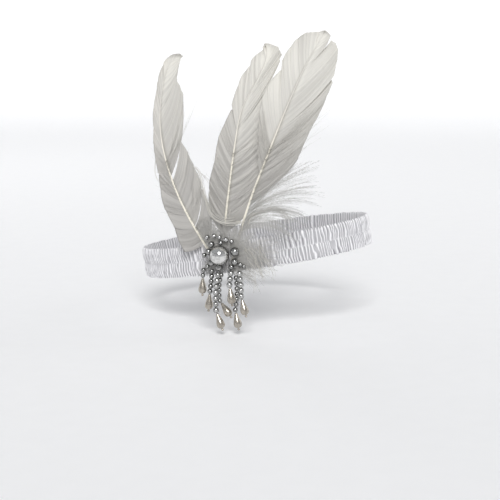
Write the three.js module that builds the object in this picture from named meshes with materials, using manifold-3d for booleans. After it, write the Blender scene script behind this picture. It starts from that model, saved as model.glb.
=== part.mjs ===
import * as THREE from "three";
import { mergeVertices } from "three/addons/utils/BufferGeometryUtils.js";
import Module from "manifold-3d";

const wasm = await Module();
wasm.setup();

// A flapper headband: a ruched stretch band, three curled feathers, a puff of down and a beaded brooch
// with hanging strings. Millimetres. +Z is up, the wearer faces -Y, and the brooch is at the right temple.
// The origin is the middle of the opening that the head fills, in the plane of the band.

// Driving dimensions of the band
const HEAD_LENGTH = 192;
const HEAD_BREADTH = 158;
const BAND_TILT = THREE.MathUtils.degToRad(10);
const BAND_WIDTH = 25;
const BAND_OUTER_PUFF = 2.0;
const BAND_INNER_PUFF = 1.5;
const GATHER_PITCH = 3.7;

// Where the ornament hangs, forward of the middle of the side, and the play left between two pieces
const ORNAMENT_FORWARD = 7.8;
const CLEARANCE = 0.3;

// Driving dimensions of the feathers and the down
const BACK_FEATHER_LENGTH = 174;
const MIDDLE_FEATHER_LENGTH = 170;
const FRONT_FEATHER_LENGTH = 191;
const QUILL_DIAMETER = 2.2;
const QUILL_TIP_DIAMETER = 1.1;
const VANE_THICKNESS = 1.0;
const VANE_CROSSING_HEIGHT = 23.6;
const MIDDLE_LEAN = 0.015;
const LOCK_WIDTH = 8;
const DOWN_THICKNESS = 1.6;
const DOWN_PAD_LENGTH = 29;
const DOWN_PAD_HEIGHT = 27;
const DOWN_PAD_FORWARD = 1;
const DOWN_PAD_RISE = 4;
const DOWN_REACH = 40;
const TONGUE_WIDTH = 10;

// Driving dimensions of the beads and drops
const CENTRE_BEAD_DIAMETER = 15;
const CENTRE_RISE = 3.9;
const RING_BEAD_DIAMETER = 5;
const CROWN_BEAD_DIAMETER = 3.7;
const STRING_BEAD_DIAMETER = 4.3;
const BEAD_PITCH = 4.55;
const STRING_LENGTH = 31;
const THREAD_DIAMETER = 0.8;
const DROP_LENGTH = 12.2;
const DROP_DIAMETER = 6.6;
const SEED_DIAMETER = 2.0;

// A short table: a row for each section, its columns named
function table(names, rows) {
  return rows.map((row) => Object.fromEntries(names.map((name, i) => [name, row[i]])));
}

// The value of one column at a place along the table, between its two nearest rows
function along(rows, column, at) {
  let i = 0;
  while (i < rows.length - 2 && rows[i + 1].at < at) i += 1;
  const share = THREE.MathUtils.clamp((at - rows[i].at) / (rows[i + 1].at - rows[i].at), 0, 1);
  return THREE.MathUtils.lerp(rows[i][column], rows[i + 1][column], share);
}

// Evenly spaced values, both ends among them
function spread(from, to, count) {
  return Array.from({ length: count }, (_, i) => THREE.MathUtils.lerp(from, to, i / (count - 1)));
}

// Closed meshes from vertices and triangles

function closedGeometry(points, triangles) {
  const geometry = new THREE.BufferGeometry();
  const coordinates = points.flatMap((point) => point.toArray());
  geometry.setAttribute("position", new THREE.Float32BufferAttribute(coordinates, 3));
  let volume = 0;
  for (const [a, b, c] of triangles) {
    volume += points[a].dot(new THREE.Vector3().crossVectors(points[b], points[c]));
  }
  const facingOut = volume > 0 ? triangles : triangles.map(([a, b, c]) => [a, c, b]);
  geometry.setIndex(facingOut.flat());
  return geometry;
}

// A loft through rings of equal length, capped with a fan at each end unless it closes on itself
function loft(rings, closed = false) {
  const sides = rings[0].length;
  const points = rings.flat();
  const triangles = [];
  const steps = closed ? rings.length : rings.length - 1;
  for (let i = 0; i < steps; i += 1) {
    const here = i * sides;
    const next = ((i + 1) % rings.length) * sides;
    for (let j = 0; j < sides; j += 1) {
      const k = (j + 1) % sides;
      triangles.push([here + j, here + k, next + k], [here + j, next + k, next + j]);
    }
  }
  if (!closed) {
    const last = (rings.length - 1) * sides;
    for (let j = 1; j < sides - 1; j += 1) {
      triangles.push([0, j + 1, j], [last, last + j, last + j + 1]);
    }
  }
  return closedGeometry(points, triangles);
}

// A sheet of the given thickness over a grid of points, thick along the ornament's outward axis
function slab(grid, thickness) {
  const back = new THREE.Vector3(0, 0, -thickness / 2);
  const front = new THREE.Vector3(0, 0, thickness / 2);
  const last = grid.length - 1;
  const edge = grid[0].length - 1;
  const rim = [
    ...grid[0].map((_, j) => [0, j]),
    ...grid.slice(1).map((_, i) => [i + 1, edge]),
    ...grid[last].slice(1).map((_, j) => [last, edge - 1 - j]),
    ...grid.slice(1, last).map((_, i) => [last - 1 - i, 0]),
  ];
  const points = [back, front].flatMap((side) => grid.flat().map((p) => p.clone().add(side)));
  const index = (layer, i, j) => (layer * grid.length + i) * (edge + 1) + j;
  const triangles = [];
  for (let i = 0; i < last; i += 1) {
    for (let j = 0; j < edge; j += 1) {
      for (const layer of [0, 1]) {
        const [a, b] = [index(layer, i, j), index(layer, i + 1, j)];
        const [c, d] = [index(layer, i + 1, j + 1), index(layer, i, j + 1)];
        triangles.push(...(layer ? [[a, b, c], [a, c, d]] : [[a, c, b], [a, d, c]]));
      }
    }
  }
  rim.forEach(([i, j], n) => {
    const [k, l] = rim[(n + 1) % rim.length];
    triangles.push([index(0, i, j), index(1, k, l), index(0, k, l)]);
    triangles.push([index(0, i, j), index(1, i, j), index(1, k, l)]);
  });
  return closedGeometry(points, triangles);
}

// A round section swept through stations of place, direction and radius
function sweep(stations, sides, closed = false) {
  const reference = new THREE.Vector3(0, 0, 1);
  const rings = stations.map(({ place, heading, radius }) => {
    const across = new THREE.Vector3().crossVectors(heading, reference).normalize();
    const up = new THREE.Vector3().crossVectors(across, heading).normalize();
    return Array.from({ length: sides }, (_, j) => {
      const angle = (2 * Math.PI * j) / sides;
      const rim = across.clone().multiplyScalar(Math.cos(angle)).addScaledVector(up, Math.sin(angle));
      return place.clone().addScaledVector(rim, radius);
    });
  });
  return loft(rings, closed);
}

// Joins made with manifold-3d

const WELD = 1e-5;

function solid(geometry) {
  const bare = geometry.clone();
  bare.deleteAttribute("normal");
  bare.deleteAttribute("uv");
  const merged = mergeVertices(bare, WELD);
  const vertProperties = new Float32Array(merged.attributes.position.array);
  const triVerts = new Uint32Array(merged.index.array);
  return new wasm.Manifold(new wasm.Mesh({ numProp: 3, vertProperties, triVerts }));
}

function fused(geometries) {
  const whole = geometries.map(solid).reduce((joined, next) => joined.add(next));
  const mesh = whole.getMesh();
  const geometry = new THREE.BufferGeometry();
  geometry.setAttribute("position", new THREE.Float32BufferAttribute(mesh.vertProperties, 3));
  geometry.setIndex([...mesh.triVerts]);
  return geometry;
}

// Materials

const satin = new THREE.MeshStandardMaterial({ color: 0xf0eef3, roughness: 0.42, metalness: 0 });
const feather = new THREE.MeshStandardMaterial({ color: 0xe2dfd9, roughness: 0.75, metalness: 0 });
const down = new THREE.MeshStandardMaterial({ color: 0xb8b4b0, roughness: 0.9, metalness: 0 });
const silver = new THREE.MeshStandardMaterial({ color: 0xa6a8a6, roughness: 0.18, metalness: 1 });
const pearl = new THREE.MeshStandardMaterial({ color: 0xb7aa9b, roughness: 0.3, metalness: 0.2 });

function piece(name, geometry, material) {
  const mesh = new THREE.Mesh(geometry, material);
  mesh.name = name;
  return mesh;
}

// The band: a closed loop whose section puffs out in two rows of gathers, with a stitched groove between.
// height is a share of half the width, puff a share of the outer or inner puff, fold how much of the
// puff a valley between two gathers loses, and scallop how far it draws the edge in.

const BAND_SECTION = table(["height", "puff", "fold", "scallop"], [
  [1.0, 0.12, 0.0, 0.07],
  [0.52, 1.0, 0.5, 0.0],
  [0.0, 0.45, 0.15, 0.0],
  [-0.52, 1.0, 0.5, 0.0],
  [-1.0, 0.12, 0.0, 0.07],
  [0.0, -1.0, 0.4, 0.0],
]);
const GATHER_UNEVENNESS = 0.22;
const GATHER_WANDER = 2.4;
const ELLIPSE_STEPS = 4096;

function bandPlace(angle, outward, height) {
  const [a, b] = [HEAD_LENGTH / 2, HEAD_BREADTH / 2];
  const normal = new THREE.Vector2(-Math.cos(angle) / b, -Math.sin(angle) / a).normalize();
  const place = new THREE.Vector3(-b * Math.cos(angle), -a * Math.sin(angle), height);
  place.x += normal.x * outward;
  place.y += normal.y * outward;
  return place.applyAxisAngle(new THREE.Vector3(1, 0, 0), -BAND_TILT);
}

// Angles a whole number of equal steps apart along the ellipse, two to each gather
function bandAngles() {
  const step = (2 * Math.PI) / ELLIPSE_STEPS;
  const lengths = [0];
  for (let i = 1; i <= ELLIPSE_STEPS; i += 1) {
    const middle = step * (i - 0.5);
    const speed = Math.hypot((HEAD_BREADTH / 2) * Math.sin(middle), (HEAD_LENGTH / 2) * Math.cos(middle));
    lengths.push(lengths[i - 1] + speed * step);
  }
  const whole = lengths[ELLIPSE_STEPS];
  const gathers = Math.round(whole / GATHER_PITCH);
  const angles = [];
  let i = 0;
  for (let n = 0; n < 2 * gathers; n += 1) {
    const wanted = (whole * n) / (2 * gathers);
    while (lengths[i + 1] < wanted) i += 1;
    angles.push(step * (i + (wanted - lengths[i]) / (lengths[i + 1] - lengths[i])));
  }
  return angles;
}

function bandGeometry() {
  const rings = bandAngles().map((angle, n) => {
    const valley = n % 2;
    const unevenness = 1 - GATHER_UNEVENNESS * Math.abs(Math.sin(GATHER_WANDER * n));
    return BAND_SECTION.map(({ height, puff, fold, scallop }) => {
      const depth = puff > 0 ? BAND_OUTER_PUFF : BAND_INNER_PUFF;
      const loss = valley ? 1 - fold * unevenness : 1;
      return bandPlace(angle, puff * depth * loss, (height * BAND_WIDTH / 2) * (1 - scallop * valley));
    });
  });
  return loft(rings, true);
}

// The ornament hangs upright at the temple: its own axes are forward, up and outward

const ornament = new THREE.Group();
const ornamentAngle = Math.asin(ORNAMENT_FORWARD / (HEAD_LENGTH / 2));
const forward = new THREE.Vector3(0, -1, 0);
const upward = new THREE.Vector3(0, 0, 1);
const outward = new THREE.Vector3(-1, 0, 0);
ornament.quaternion.setFromRotationMatrix(new THREE.Matrix4().makeBasis(forward, upward, outward));
ornament.position.copy(bandPlace(ornamentAngle, 0, 0));

// What lies over what: the quills on the band, the down on the quills. The outer feathers lean out enough
// more than the middle one for their vanes to clear it from the height at which they first cross.
const QUILL_SEAT = BAND_OUTER_PUFF + CLEARANCE + QUILL_DIAMETER / 2;
const OUTER_LEAN = MIDDLE_LEAN + (VANE_THICKNESS + CLEARANCE) / VANE_CROSSING_HEIGHT;
const DOWN_BACK = QUILL_SEAT + QUILL_DIAMETER / 2 + CLEARANCE;
const DOWN_FRONT = DOWN_BACK + DOWN_THICKNESS;
const TEMPLE_RADIUS = (HEAD_LENGTH / 2) ** 2 / (HEAD_BREADTH / 2);

// How far out a leaning surface stands at a height above the ornament's centre
const leaning = (seat, lean, height) => seat + lean * Math.max(height, 0);

// Past the pad, the down follows the turn of the temple, and less so the higher it rises over the band
function fallAway(f, u) {
  const past = Math.max(f ** 2 - (DOWN_PAD_LENGTH / 2) ** 2, 0);
  const above = THREE.MathUtils.clamp(u / BAND_WIDTH - 0.2, 0, 1);
  return (past / (2 * TEMPLE_RADIUS)) * (1 - above);
}

// The feathers. foot is where a quill starts, in shares of the down pad's length and height. A shaft
// follows its lean, in degrees from upright towards the face, at shares of its length. A vane is a row of
// barbs: each leaves the shaft at a splay in degrees, halves that splay on the way to its tip and is as
// long as its reach, a share of the shaft. side is 1 towards the face. cup is how strongly the barbs bow
// out of the feather's plane. A lock is one downy tongue that leaves the shaft as a barb does, turns by
// its bend and has a share of the lock width. A barb's root goes past the shaft's middle line.

const BARB_STRAIGHTENING = 0.5;
const BARB_ROOT_DEPTH = 0.35;
const LINE_STEPS = 200;
const SHAFT_STEPS = 10;
const SHAFT_SIDES = 6;
const BARB_STEPS = 3;
const LOCK_STEPS = 4;
const ARC_FINENESS = 4;
const LOCK_OUTLINE = [0.6, 1.0, 1.0, 0.8, 0.25];
const LOCK_THINNING = [0.88, 0.55];
const BARBS = ["at", "splay", "reach"];
const SHAFT = ["at", "lean"];
const LOCKS = ["at", "splay", "bend", "reach", "width"];

const FEATHERS = [
  {
    name: "feather_back",
    length: BACK_FEATHER_LENGTH,
    foot: [-0.276, -0.111],
    lean: OUTER_LEAN,
    cup: 0.209,
    shaft: table(SHAFT, [[0, -34], [0.12, -33], [0.25, -29], [0.4, -20], [0.55, -11], [0.66, 0], [0.8, 11],
      [0.9, 20], [1, 75]]),
    vanes: [
      { side: -1, barbs: table(BARBS, [[0.1, 112, 0.104], [0.14, 98, 0.106], [0.185, 78, 0.102],
        [0.24, 64, 0.112], [0.3, 48, 0.11], [0.352, 33, 0.113]]) },
      { side: -1, barbs: table(BARBS, [[0.357, 29, 0.118], [0.45, 21, 0.112], [0.56, 17, 0.097],
        [0.67, 15, 0.092], [0.765, 15, 0.086], [0.855, 17, 0.066], [0.943, 22, 0.036]]) },
      { side: 1, barbs: table(BARBS, [[0.075, 64, 0.14], [0.11, 66, 0.172], [0.145, 62, 0.19],
        [0.173, 59, 0.197]]) },
      { side: 1, barbs: table(BARBS, [[0.18, 58, 0.204], [0.225, 61, 0.21], [0.28, 60, 0.21],
        [0.335, 54, 0.207], [0.4, 45, 0.201]]) },
      { side: 1, barbs: table(BARBS, [[0.427, 45, 0.34], [0.51, 47, 0.308], [0.593, 42, 0.269],
        [0.7, 33, 0.198]]) },
      { side: 1, barbs: table(BARBS, [[0.72, 36, 0.19], [0.79, 39, 0.16], [0.865, 41, 0.12],
        [0.92, 38, 0.088], [0.965, 30, 0.055]]) },
    ],
    locks: [],
  },
  {
    name: "feather_middle",
    length: MIDDLE_FEATHER_LENGTH,
    foot: [-0.086, -0.111],
    lean: MIDDLE_LEAN,
    cup: -0.17,
    shaft: table(SHAFT, [[0, 4], [0.2, 7], [0.35, 8], [0.6, 10], [0.68, 17], [0.74, 30], [0.85, 30],
      [0.92, 25], [0.96, 5], [1, -5]]),
    vanes: [
      { side: -1, barbs: table(BARBS, [[0.16, 51, 0.149], [0.22, 54, 0.146], [0.29, 56, 0.136],
        [0.36, 51, 0.138], [0.445, 44, 0.141], [0.53, 40, 0.121], [0.59, 29, 0.106]]) },
      { side: -1, barbs: table(BARBS, [[0.6, 23, 0.118], [0.635, 18, 0.15], [0.685, 19, 0.163],
        [0.763, 31, 0.155], [0.85, 36, 0.11], [0.938, 29, 0.056]]) },
      { side: 1, barbs: table(BARBS, [[0.147, 59, 0.102], [0.195, 56, 0.143], [0.255, 59, 0.188],
        [0.34, 58, 0.218], [0.445, 55, 0.218], [0.515, 45, 0.234], [0.583, 34, 0.256]]) },
      { side: 1, barbs: table(BARBS, [[0.6, 32, 0.368], [0.685, 25, 0.31], [0.735, 14, 0.27],
        [0.79, 11, 0.225], [0.873, 11, 0.15], [0.938, 16, 0.082]]) },
    ],
    locks: [],
  },
  {
    name: "feather_front",
    length: FRONT_FEATHER_LENGTH,
    foot: [0.207, -0.074],
    lean: OUTER_LEAN,
    cup: 0.229,
    shaft: table(SHAFT, [[0, 16], [0.2, 20], [0.4, 24], [0.6, 24], [0.8, 27], [1, 36]]),
    vanes: [
      { side: -1, barbs: table(BARBS, [[0.385, 40, 0.06], [0.425, 45, 0.115], [0.47, 46, 0.162],
        [0.515, 43, 0.189], [0.557, 38, 0.201], [0.6, 29, 0.205]]) },
      { side: -1, barbs: table(BARBS, [[0.61, 28, 0.205], [0.655, 34, 0.191], [0.713, 36, 0.176],
        [0.775, 37, 0.16], [0.85, 34, 0.121], [0.915, 20, 0.071], [0.965, 16, 0.032]]) },
      { side: 1, barbs: table(BARBS, [[0.26, 40, 0.265], [0.323, 36, 0.293], [0.39, 34, 0.311],
        [0.47, 34, 0.324], [0.557, 35, 0.314]]) },
      { side: 1, barbs: table(BARBS, [[0.568, 33, 0.327], [0.63, 30, 0.319], [0.7, 30, 0.279],
        [0.77, 27, 0.222], [0.823, 25, 0.162]]) },
      { side: 1, barbs: table(BARBS, [[0.835, 25, 0.136], [0.878, 27, 0.108], [0.925, 29, 0.074],
        [0.965, 25, 0.035]]) },
    ],
    locks: table(LOCKS, [
      [0.25, 26, 12, 0.345, 1],
      [0.23, 26, 28, 0.35, 1],
      [0.205, 28, 42, 0.355, 1],
      [0.185, 30, 56, 0.33, 1],
      [0.165, 32, 68, 0.3, 1],
      [0.145, 34, 82, 0.27, 1],
      [0.125, 38, 92, 0.225, 0.88],
    ]),
  },
];

// The middle line of a shaft, finely stepped: place in forward and up, and heading in radians
function shaftLine({ length, foot, shaft }) {
  const heading = (at) => THREE.MathUtils.degToRad(along(shaft, "lean", at));
  const step = length / LINE_STEPS;
  const start = { forward: foot[0] * DOWN_PAD_LENGTH, up: foot[1] * DOWN_PAD_HEIGHT };
  const line = [{ at: 0, heading: heading(0), ...start }];
  for (let i = 1; i <= LINE_STEPS; i += 1) {
    const before = line[i - 1];
    const middle = heading((i - 0.5) / LINE_STEPS);
    line.push({
      at: i / LINE_STEPS,
      heading: heading(i / LINE_STEPS),
      forward: before.forward + Math.sin(middle) * step,
      up: before.up + Math.cos(middle) * step,
    });
  }
  return line;
}

const shaftAt = (line, at) => ({
  forward: along(line, "forward", at),
  up: along(line, "up", at),
  heading: along(line, "heading", at),
});

// Points along an arc that starts at a place and turns evenly from one heading to another
function arcPoints(start, first, last, length, steps) {
  const count = steps * ARC_FINENESS;
  const points = [{ forward: start.forward, up: start.up, travelled: 0 }];
  let { forward: f, up: u } = start;
  for (let i = 1; i <= count; i += 1) {
    const heading = THREE.MathUtils.lerp(first, last, (i - 0.5) / count);
    f += (Math.sin(heading) * length) / count;
    u += (Math.cos(heading) * length) / count;
    if (i % ARC_FINENESS === 0) points.push({ forward: f, up: u, travelled: (length * i) / count });
  }
  return points;
}

function vaneGeometry(spec, line, { side, barbs }) {
  const first = barbs[0].at;
  const last = barbs[barbs.length - 1].at;
  const grid = spread(first, last, barbs.length).map((at) => {
    const root = shaftAt(line, at);
    const splay = side * THREE.MathUtils.degToRad(along(barbs, "splay", at));
    const length = along(barbs, "reach", at) * spec.length;
    const heading = root.heading + splay;
    const start = {
      forward: root.forward - Math.sin(heading) * BARB_ROOT_DEPTH,
      up: root.up - Math.cos(heading) * BARB_ROOT_DEPTH,
    };
    const end = root.heading + splay * BARB_STRAIGHTENING;
    return arcPoints(start, heading, end, length, BARB_STEPS).map((p) => {
      const cup = (spec.cup * p.travelled ** 2) / spec.length;
      return new THREE.Vector3(p.forward, p.up, leaning(QUILL_SEAT, spec.lean, p.up) + cup);
    });
  });
  return slab(grid, VANE_THICKNESS);
}

// Several tongues lie in layers, each thinner than the last: the share of the piece's thickness of one
const layered = (count, i) => THREE.MathUtils.lerp(...LOCK_THINNING, i / (count - 1));

// A tongue of down along an arc, as wide at each step as its outline says
function tongueGeometry({ start, first, turn, length, width, thickness, standing }) {
  const points = arcPoints(start, first, first + turn, length, LOCK_STEPS);
  const grid = points.map((p, i) => {
    const heading = first + (turn * i) / LOCK_STEPS;
    const half = (width / 2) * LOCK_OUTLINE[i];
    return [-half, half].map((across) => {
      const f = p.forward + Math.cos(heading) * across;
      const u = p.up - Math.sin(heading) * across;
      return new THREE.Vector3(f, u, standing(f, u));
    });
  });
  return slab(grid, thickness);
}

function featherGeometry(spec) {
  const line = shaftLine(spec);
  const stations = spread(0, 1, SHAFT_STEPS + 1).map((at) => {
    const { forward: f, up, heading } = shaftAt(line, at);
    return {
      place: new THREE.Vector3(f, up, leaning(QUILL_SEAT, spec.lean, up)),
      heading: new THREE.Vector3(Math.sin(heading), Math.cos(heading), up > 0 ? spec.lean : 0).normalize(),
      radius: THREE.MathUtils.lerp(QUILL_DIAMETER, QUILL_TIP_DIAMETER, at) / 2,
    };
  });
  const locks = spec.locks.map(({ at, splay, bend, reach, width }, i) => {
    const start = shaftAt(line, at);
    return tongueGeometry({
      start,
      first: start.heading + THREE.MathUtils.degToRad(splay),
      turn: THREE.MathUtils.degToRad(bend),
      length: reach * spec.length,
      width: width * LOCK_WIDTH,
      thickness: VANE_THICKNESS * layered(spec.locks.length, i),
      standing: (f, u) => leaning(QUILL_SEAT, spec.lean, u) - fallAway(f, u),
    });
  });
  const vanes = spec.vanes.map((vane) => vaneGeometry(spec, line, vane));
  return fused([sweep(stations, SHAFT_SIDES), ...vanes, ...locks]);
}

// The down: an oval pad over the quills, with tongues that fan up before the feathers and forward along
// the band. from and rise are where a tongue starts, in shares of the pad, heading and bend are degrees
// from upright towards the face, length is a share of the down's reach and width of the tongue's.

const DOWN_TONGUES = table(["from", "rise", "heading", "bend", "length", "width"], [
  [-0.21, 0.22, -22, -6, 0.65, 1],
  [0, 0.3, -6, -4, 0.6, 1],
  [0.17, 0.3, 12, 4, 0.6, 1],
  [0.31, 0.3, 34, 10, 0.55, 0.9],
  [0.28, 0.22, 74, 12, 1, 0.9],
  [0.28, 0.07, 92, 6, 0.98, 0.9],
  [0.28, -0.04, 108, 2, 0.85, 0.9],
  [0.24, -0.15, 126, -6, 0.75, 0.8],
  [-0.24, -0.07, -128, -8, 0.5, 0.6],
]);
const DOWN_PAD_ROWS = 8;
const DOWN_PAD_BLUNTNESS = 0.06;

const downSurface = (f, u) => leaning(DOWN_BACK, OUTER_LEAN, u) + DOWN_THICKNESS / 2 - fallAway(f, u);

function downGeometry() {
  const pad = spread(-1, 1, DOWN_PAD_ROWS).map((share) => {
    const up = DOWN_PAD_RISE + (share * DOWN_PAD_HEIGHT) / 2;
    const half = (DOWN_PAD_LENGTH / 2) * Math.sqrt(1 + DOWN_PAD_BLUNTNESS - share ** 2);
    return [-half, 0, half].map((across) => {
      return new THREE.Vector3(DOWN_PAD_FORWARD + across, up, downSurface(0, up));
    });
  });
  const tongues = DOWN_TONGUES.map(({ from, rise, heading, bend, length, width }, i) => tongueGeometry({
    start: { forward: from * DOWN_PAD_LENGTH, up: rise * DOWN_PAD_HEIGHT },
    first: THREE.MathUtils.degToRad(heading),
    turn: THREE.MathUtils.degToRad(bend),
    length: length * DOWN_REACH,
    width: width * TONGUE_WIDTH,
    thickness: DOWN_THICKNESS * layered(DOWN_TONGUES.length, i),
    standing: downSurface,
  }));
  return fused([slab(pad, DOWN_THICKNESS), ...tongues]);
}

// Beads of the brooch. A bead lies in a direction from the centre bead, in degrees from upright towards
// the face, and past its rim by a gap, a share of the ring bead's diameter. girth is a share of its own
// kind's diameter. Each is seated on the down with the clearance, however high up the brooch it lies.

const BEAD_SIDES = 10;
const CENTRE_BEAD_SIDES = 16;
const CENTRE_BEAD_ROWS = 9;
const THREAD_RADIUS = THREAD_DIAMETER / 2;
const BEAD_COLUMNS = ["direction", "gap", "girth"];
const RING_BEADS = table(BEAD_COLUMNS, [
  [-49, 0.25, 1], [-6, -0.09, 0.8], [75, 0.14, 1.4], [115, 0.3, 1.08], [115, 1.42, 0.76], [115, 2.12, 0.6],
  [141, 0.48, 0.9], [-167, 0, 1.2], [-129, 0.18, 1.08], [-96, 1.18, 0.76], [-82, 0.26, 1],
]);
const CROWN_BEADS = table(BEAD_COLUMNS, [
  [-44, 1.64, 1.03], [-24, 1.24, 0.97], [-8, 0.82, 0.97], [17, 0.51, 1.19], [37.5, 0.86, 0.92],
]);

const seated = (up, diameter) => leaning(DOWN_FRONT, OUTER_LEAN, up) + CLEARANCE + diameter / 2;

function broochBead({ direction, gap, girth }, kindDiameter) {
  const diameter = girth * kindDiameter;
  const angle = THREE.MathUtils.degToRad(direction);
  const distance = (CENTRE_BEAD_DIAMETER + diameter) / 2 + gap * RING_BEAD_DIAMETER;
  const up = CENTRE_RISE + Math.cos(angle) * distance;
  const place = new THREE.Vector3(Math.sin(angle) * distance, up, seated(up, diameter));
  return { place, radius: diameter / 2 };
}

const ringBeads = RING_BEADS.map((row) => broochBead(row, RING_BEAD_DIAMETER));
const crownBeads = CROWN_BEADS.map((row) => broochBead(row, CROWN_BEAD_DIAMETER));

// Where a bead's round is cut, in shares of its radius: how far along the string, and how wide
const BEAD_ROUND = table(["way", "width"], [[-0.44, 0.94], [0.44, 0.94]]);

// The stations of a string of beads: the round of each bead, and the thread's neck between two of them
function stringStations(beads, closed) {
  const stations = [];
  const count = beads.length;
  const chord = (i, j) => beads[j].place.clone().sub(beads[i].place).normalize();
  const neighbour = (i) => (closed ? (i + count) % count : THREE.MathUtils.clamp(i, 0, count - 1));
  beads.forEach((bead, i) => {
    const [before, after] = [neighbour(i - 1), neighbour(i + 1)];
    const heading = chord(before, after);
    for (const { way, width } of BEAD_ROUND) {
      const place = bead.place.clone().addScaledVector(heading, way * bead.radius);
      stations.push({ place, heading, radius: width * bead.radius });
    }
    if (after === i) return;
    const next = beads[after];
    const line = chord(i, after);
    const span = next.place.distanceTo(bead.place);
    const bare = span - bead.radius - next.radius;
    const necks = bare > THREAD_DIAMETER ? [bead.radius, span - next.radius] : [bead.radius + bare / 2];
    for (const neck of necks) {
      const place = bead.place.clone().addScaledVector(line, neck);
      stations.push({ place, heading: line, radius: THREAD_RADIUS });
    }
  });
  return stations;
}

// The hanging strings, rear to front. A string is tied to a bead of the ring, counted from 0, on the side
// that its tie points to, in forward, up and outward. It hangs through the points of its route, in forward
// and up from the tie as shares of the longest string's length, with its beads spaced evenly at about the
// pitch. out is how far it hangs outward from its tie, and girth its beads' size, as shares of the string
// bead's diameter. drop is the direction in which its drop hangs, in degrees from straight down towards
// the face.

const STRING = ["carrier", "tie", "out", "girth", "drop", "route"];
const STRINGS = table(STRING, [
  [8, [-0.84, -0.54, -0.09], -0.12, 0.88, -2, [[-0.039, -0.048], [-0.145, -0.152], [-0.161, -0.281]]],
  [8, [0.03, -1, -0.03], -0.02, 0.95, -5, [[0, -0.106], [-0.019, -0.355], [-0.055, -0.613]]],
  [7, [0, -0.91, 0.42], 0.16, 1.05, 20, [[0, -0.068], [-0.058, -0.49], [-0.052, -0.961]]],
  [7, [0.12, -0.94, -0.33], -0.3, 0.88, 38, [[0.01, -0.087], [-0.048, -0.442], [-0.029, -0.742]]],
  [6, [0.16, -0.85, 0.51], 0.33, 1.07, 8, [[0.01, -0.055], [-0.01, -0.203], [-0.026, -0.348]]],
  [6, [0.38, -0.86, -0.33], -0.3, 0.91, 10, [[0.058, -0.192], [0.084, -0.571], [0.039, -0.997]]],
  [4, [0.04, -0.92, 0.39], 0.44, 1.07, 15, [[0.016, -0.135], [0.045, -0.416], [0.055, -0.694]]],
]);

// A drop's profile from its narrow neck to its foot: along is a share of its length, girth of its radius
const DROP_PROFILE = table(["along", "girth"], [
  [0, 0.34], [0.3, 0.62], [0.6, 0.95], [0.78, 1], [0.96, 0.55],
]);
const SEED_PROFILE = table(["along", "girth"], [[0.3, 0.95], [0.8, 0.85]]);

function dropGeometry() {
  const pear = DROP_PROFILE.map(({ along: share, girth }) => {
    return new THREE.Vector2((girth * DROP_DIAMETER) / 2, -share * DROP_LENGTH);
  });
  const seed = SEED_PROFILE.map(({ along: share, girth }) => {
    return new THREE.Vector2((girth * SEED_DIAMETER) / 2, -DROP_LENGTH - share * SEED_DIAMETER);
  });
  const foot = new THREE.Vector2(0, -DROP_LENGTH - SEED_DIAMETER);
  const profile = [new THREE.Vector2(0, 0), ...pear, ...seed, foot].reverse();
  return new THREE.LatheGeometry(profile, BEAD_SIDES);
}

// The middle line of a string, from its tie through its beads to the foot from which the drop hangs
function stringLine({ carrier, tie, out, girth, route }) {
  const radius = (girth * STRING_BEAD_DIAMETER) / 2;
  const { place: carrierPlace, radius: carrierRadius } = ringBeads[carrier];
  const tieDistance = carrierRadius + CLEARANCE + THREAD_RADIUS;
  const side = new THREE.Vector3(...tie).normalize();
  const start = carrierPlace.clone().addScaledVector(side, tieDistance);
  const away = out * STRING_BEAD_DIAMETER;
  const points = route.map(([forward, up]) => {
    return new THREE.Vector3(forward * STRING_LENGTH, up * STRING_LENGTH, away).add(start);
  });
  const curve = new THREE.CatmullRomCurve3(points);
  const steps = Math.max(1, Math.round(curve.getLength() / (BEAD_PITCH * girth)));
  return { start, radius, beads: curve.getSpacedPoints(steps).map((place) => ({ place, radius })) };
}

function stringGeometry({ start, radius, beads }) {
  const stations = stringStations(beads, false);
  const rise = beads[0].place.clone().sub(start).normalize();
  const fall = stations[stations.length - 1].heading;
  const top = beads[0].place.clone().addScaledVector(rise, -radius);
  const foot = beads[beads.length - 1].place.clone().addScaledVector(fall, radius);
  const whole = [
    { place: start, heading: rise, radius: THREAD_RADIUS },
    { place: top, heading: rise, radius: THREAD_RADIUS },
    ...stations,
    { place: foot, heading: fall, radius: THREAD_RADIUS },
  ];
  return sweep(whole, BEAD_SIDES);
}

function hangDrop(drop, { radius, beads }, lean) {
  const angle = THREE.MathUtils.degToRad(lean);
  const hang = new THREE.Vector3(Math.sin(angle), -Math.cos(angle), 0);
  drop.position.copy(beads[beads.length - 1].place).addScaledVector(hang, radius + CLEARANCE);
  drop.rotation.z = angle;
  return drop;
}

// The whole headband

const headband = new THREE.Group();
headband.add(piece("band", bandGeometry(), satin));
headband.add(ornament);
for (const spec of FEATHERS) ornament.add(piece(spec.name, featherGeometry(spec), feather));
ornament.add(piece("down_tuft", downGeometry(), down));

const centreRound = new THREE.SphereGeometry(CENTRE_BEAD_DIAMETER / 2, CENTRE_BEAD_SIDES, CENTRE_BEAD_ROWS);
const centreBead = piece("centre_bead", centreRound, silver);
centreBead.position.set(0, CENTRE_RISE, seated(CENTRE_RISE, CENTRE_BEAD_DIAMETER));
ornament.add(centreBead);
ornament.add(piece("bead_ring", sweep(stringStations(ringBeads, true), BEAD_SIDES, true), silver));
ornament.add(piece("bead_crown", sweep(stringStations(crownBeads, false), BEAD_SIDES), silver));

STRINGS.forEach((string, i) => {
  const line = stringLine(string);
  ornament.add(piece(`strand_${i + 1}`, stringGeometry(line), silver));
  ornament.add(hangDrop(piece(`drop_${i + 1}`, dropGeometry(), pearl), line, string.drop));
});

export default headband;
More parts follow.
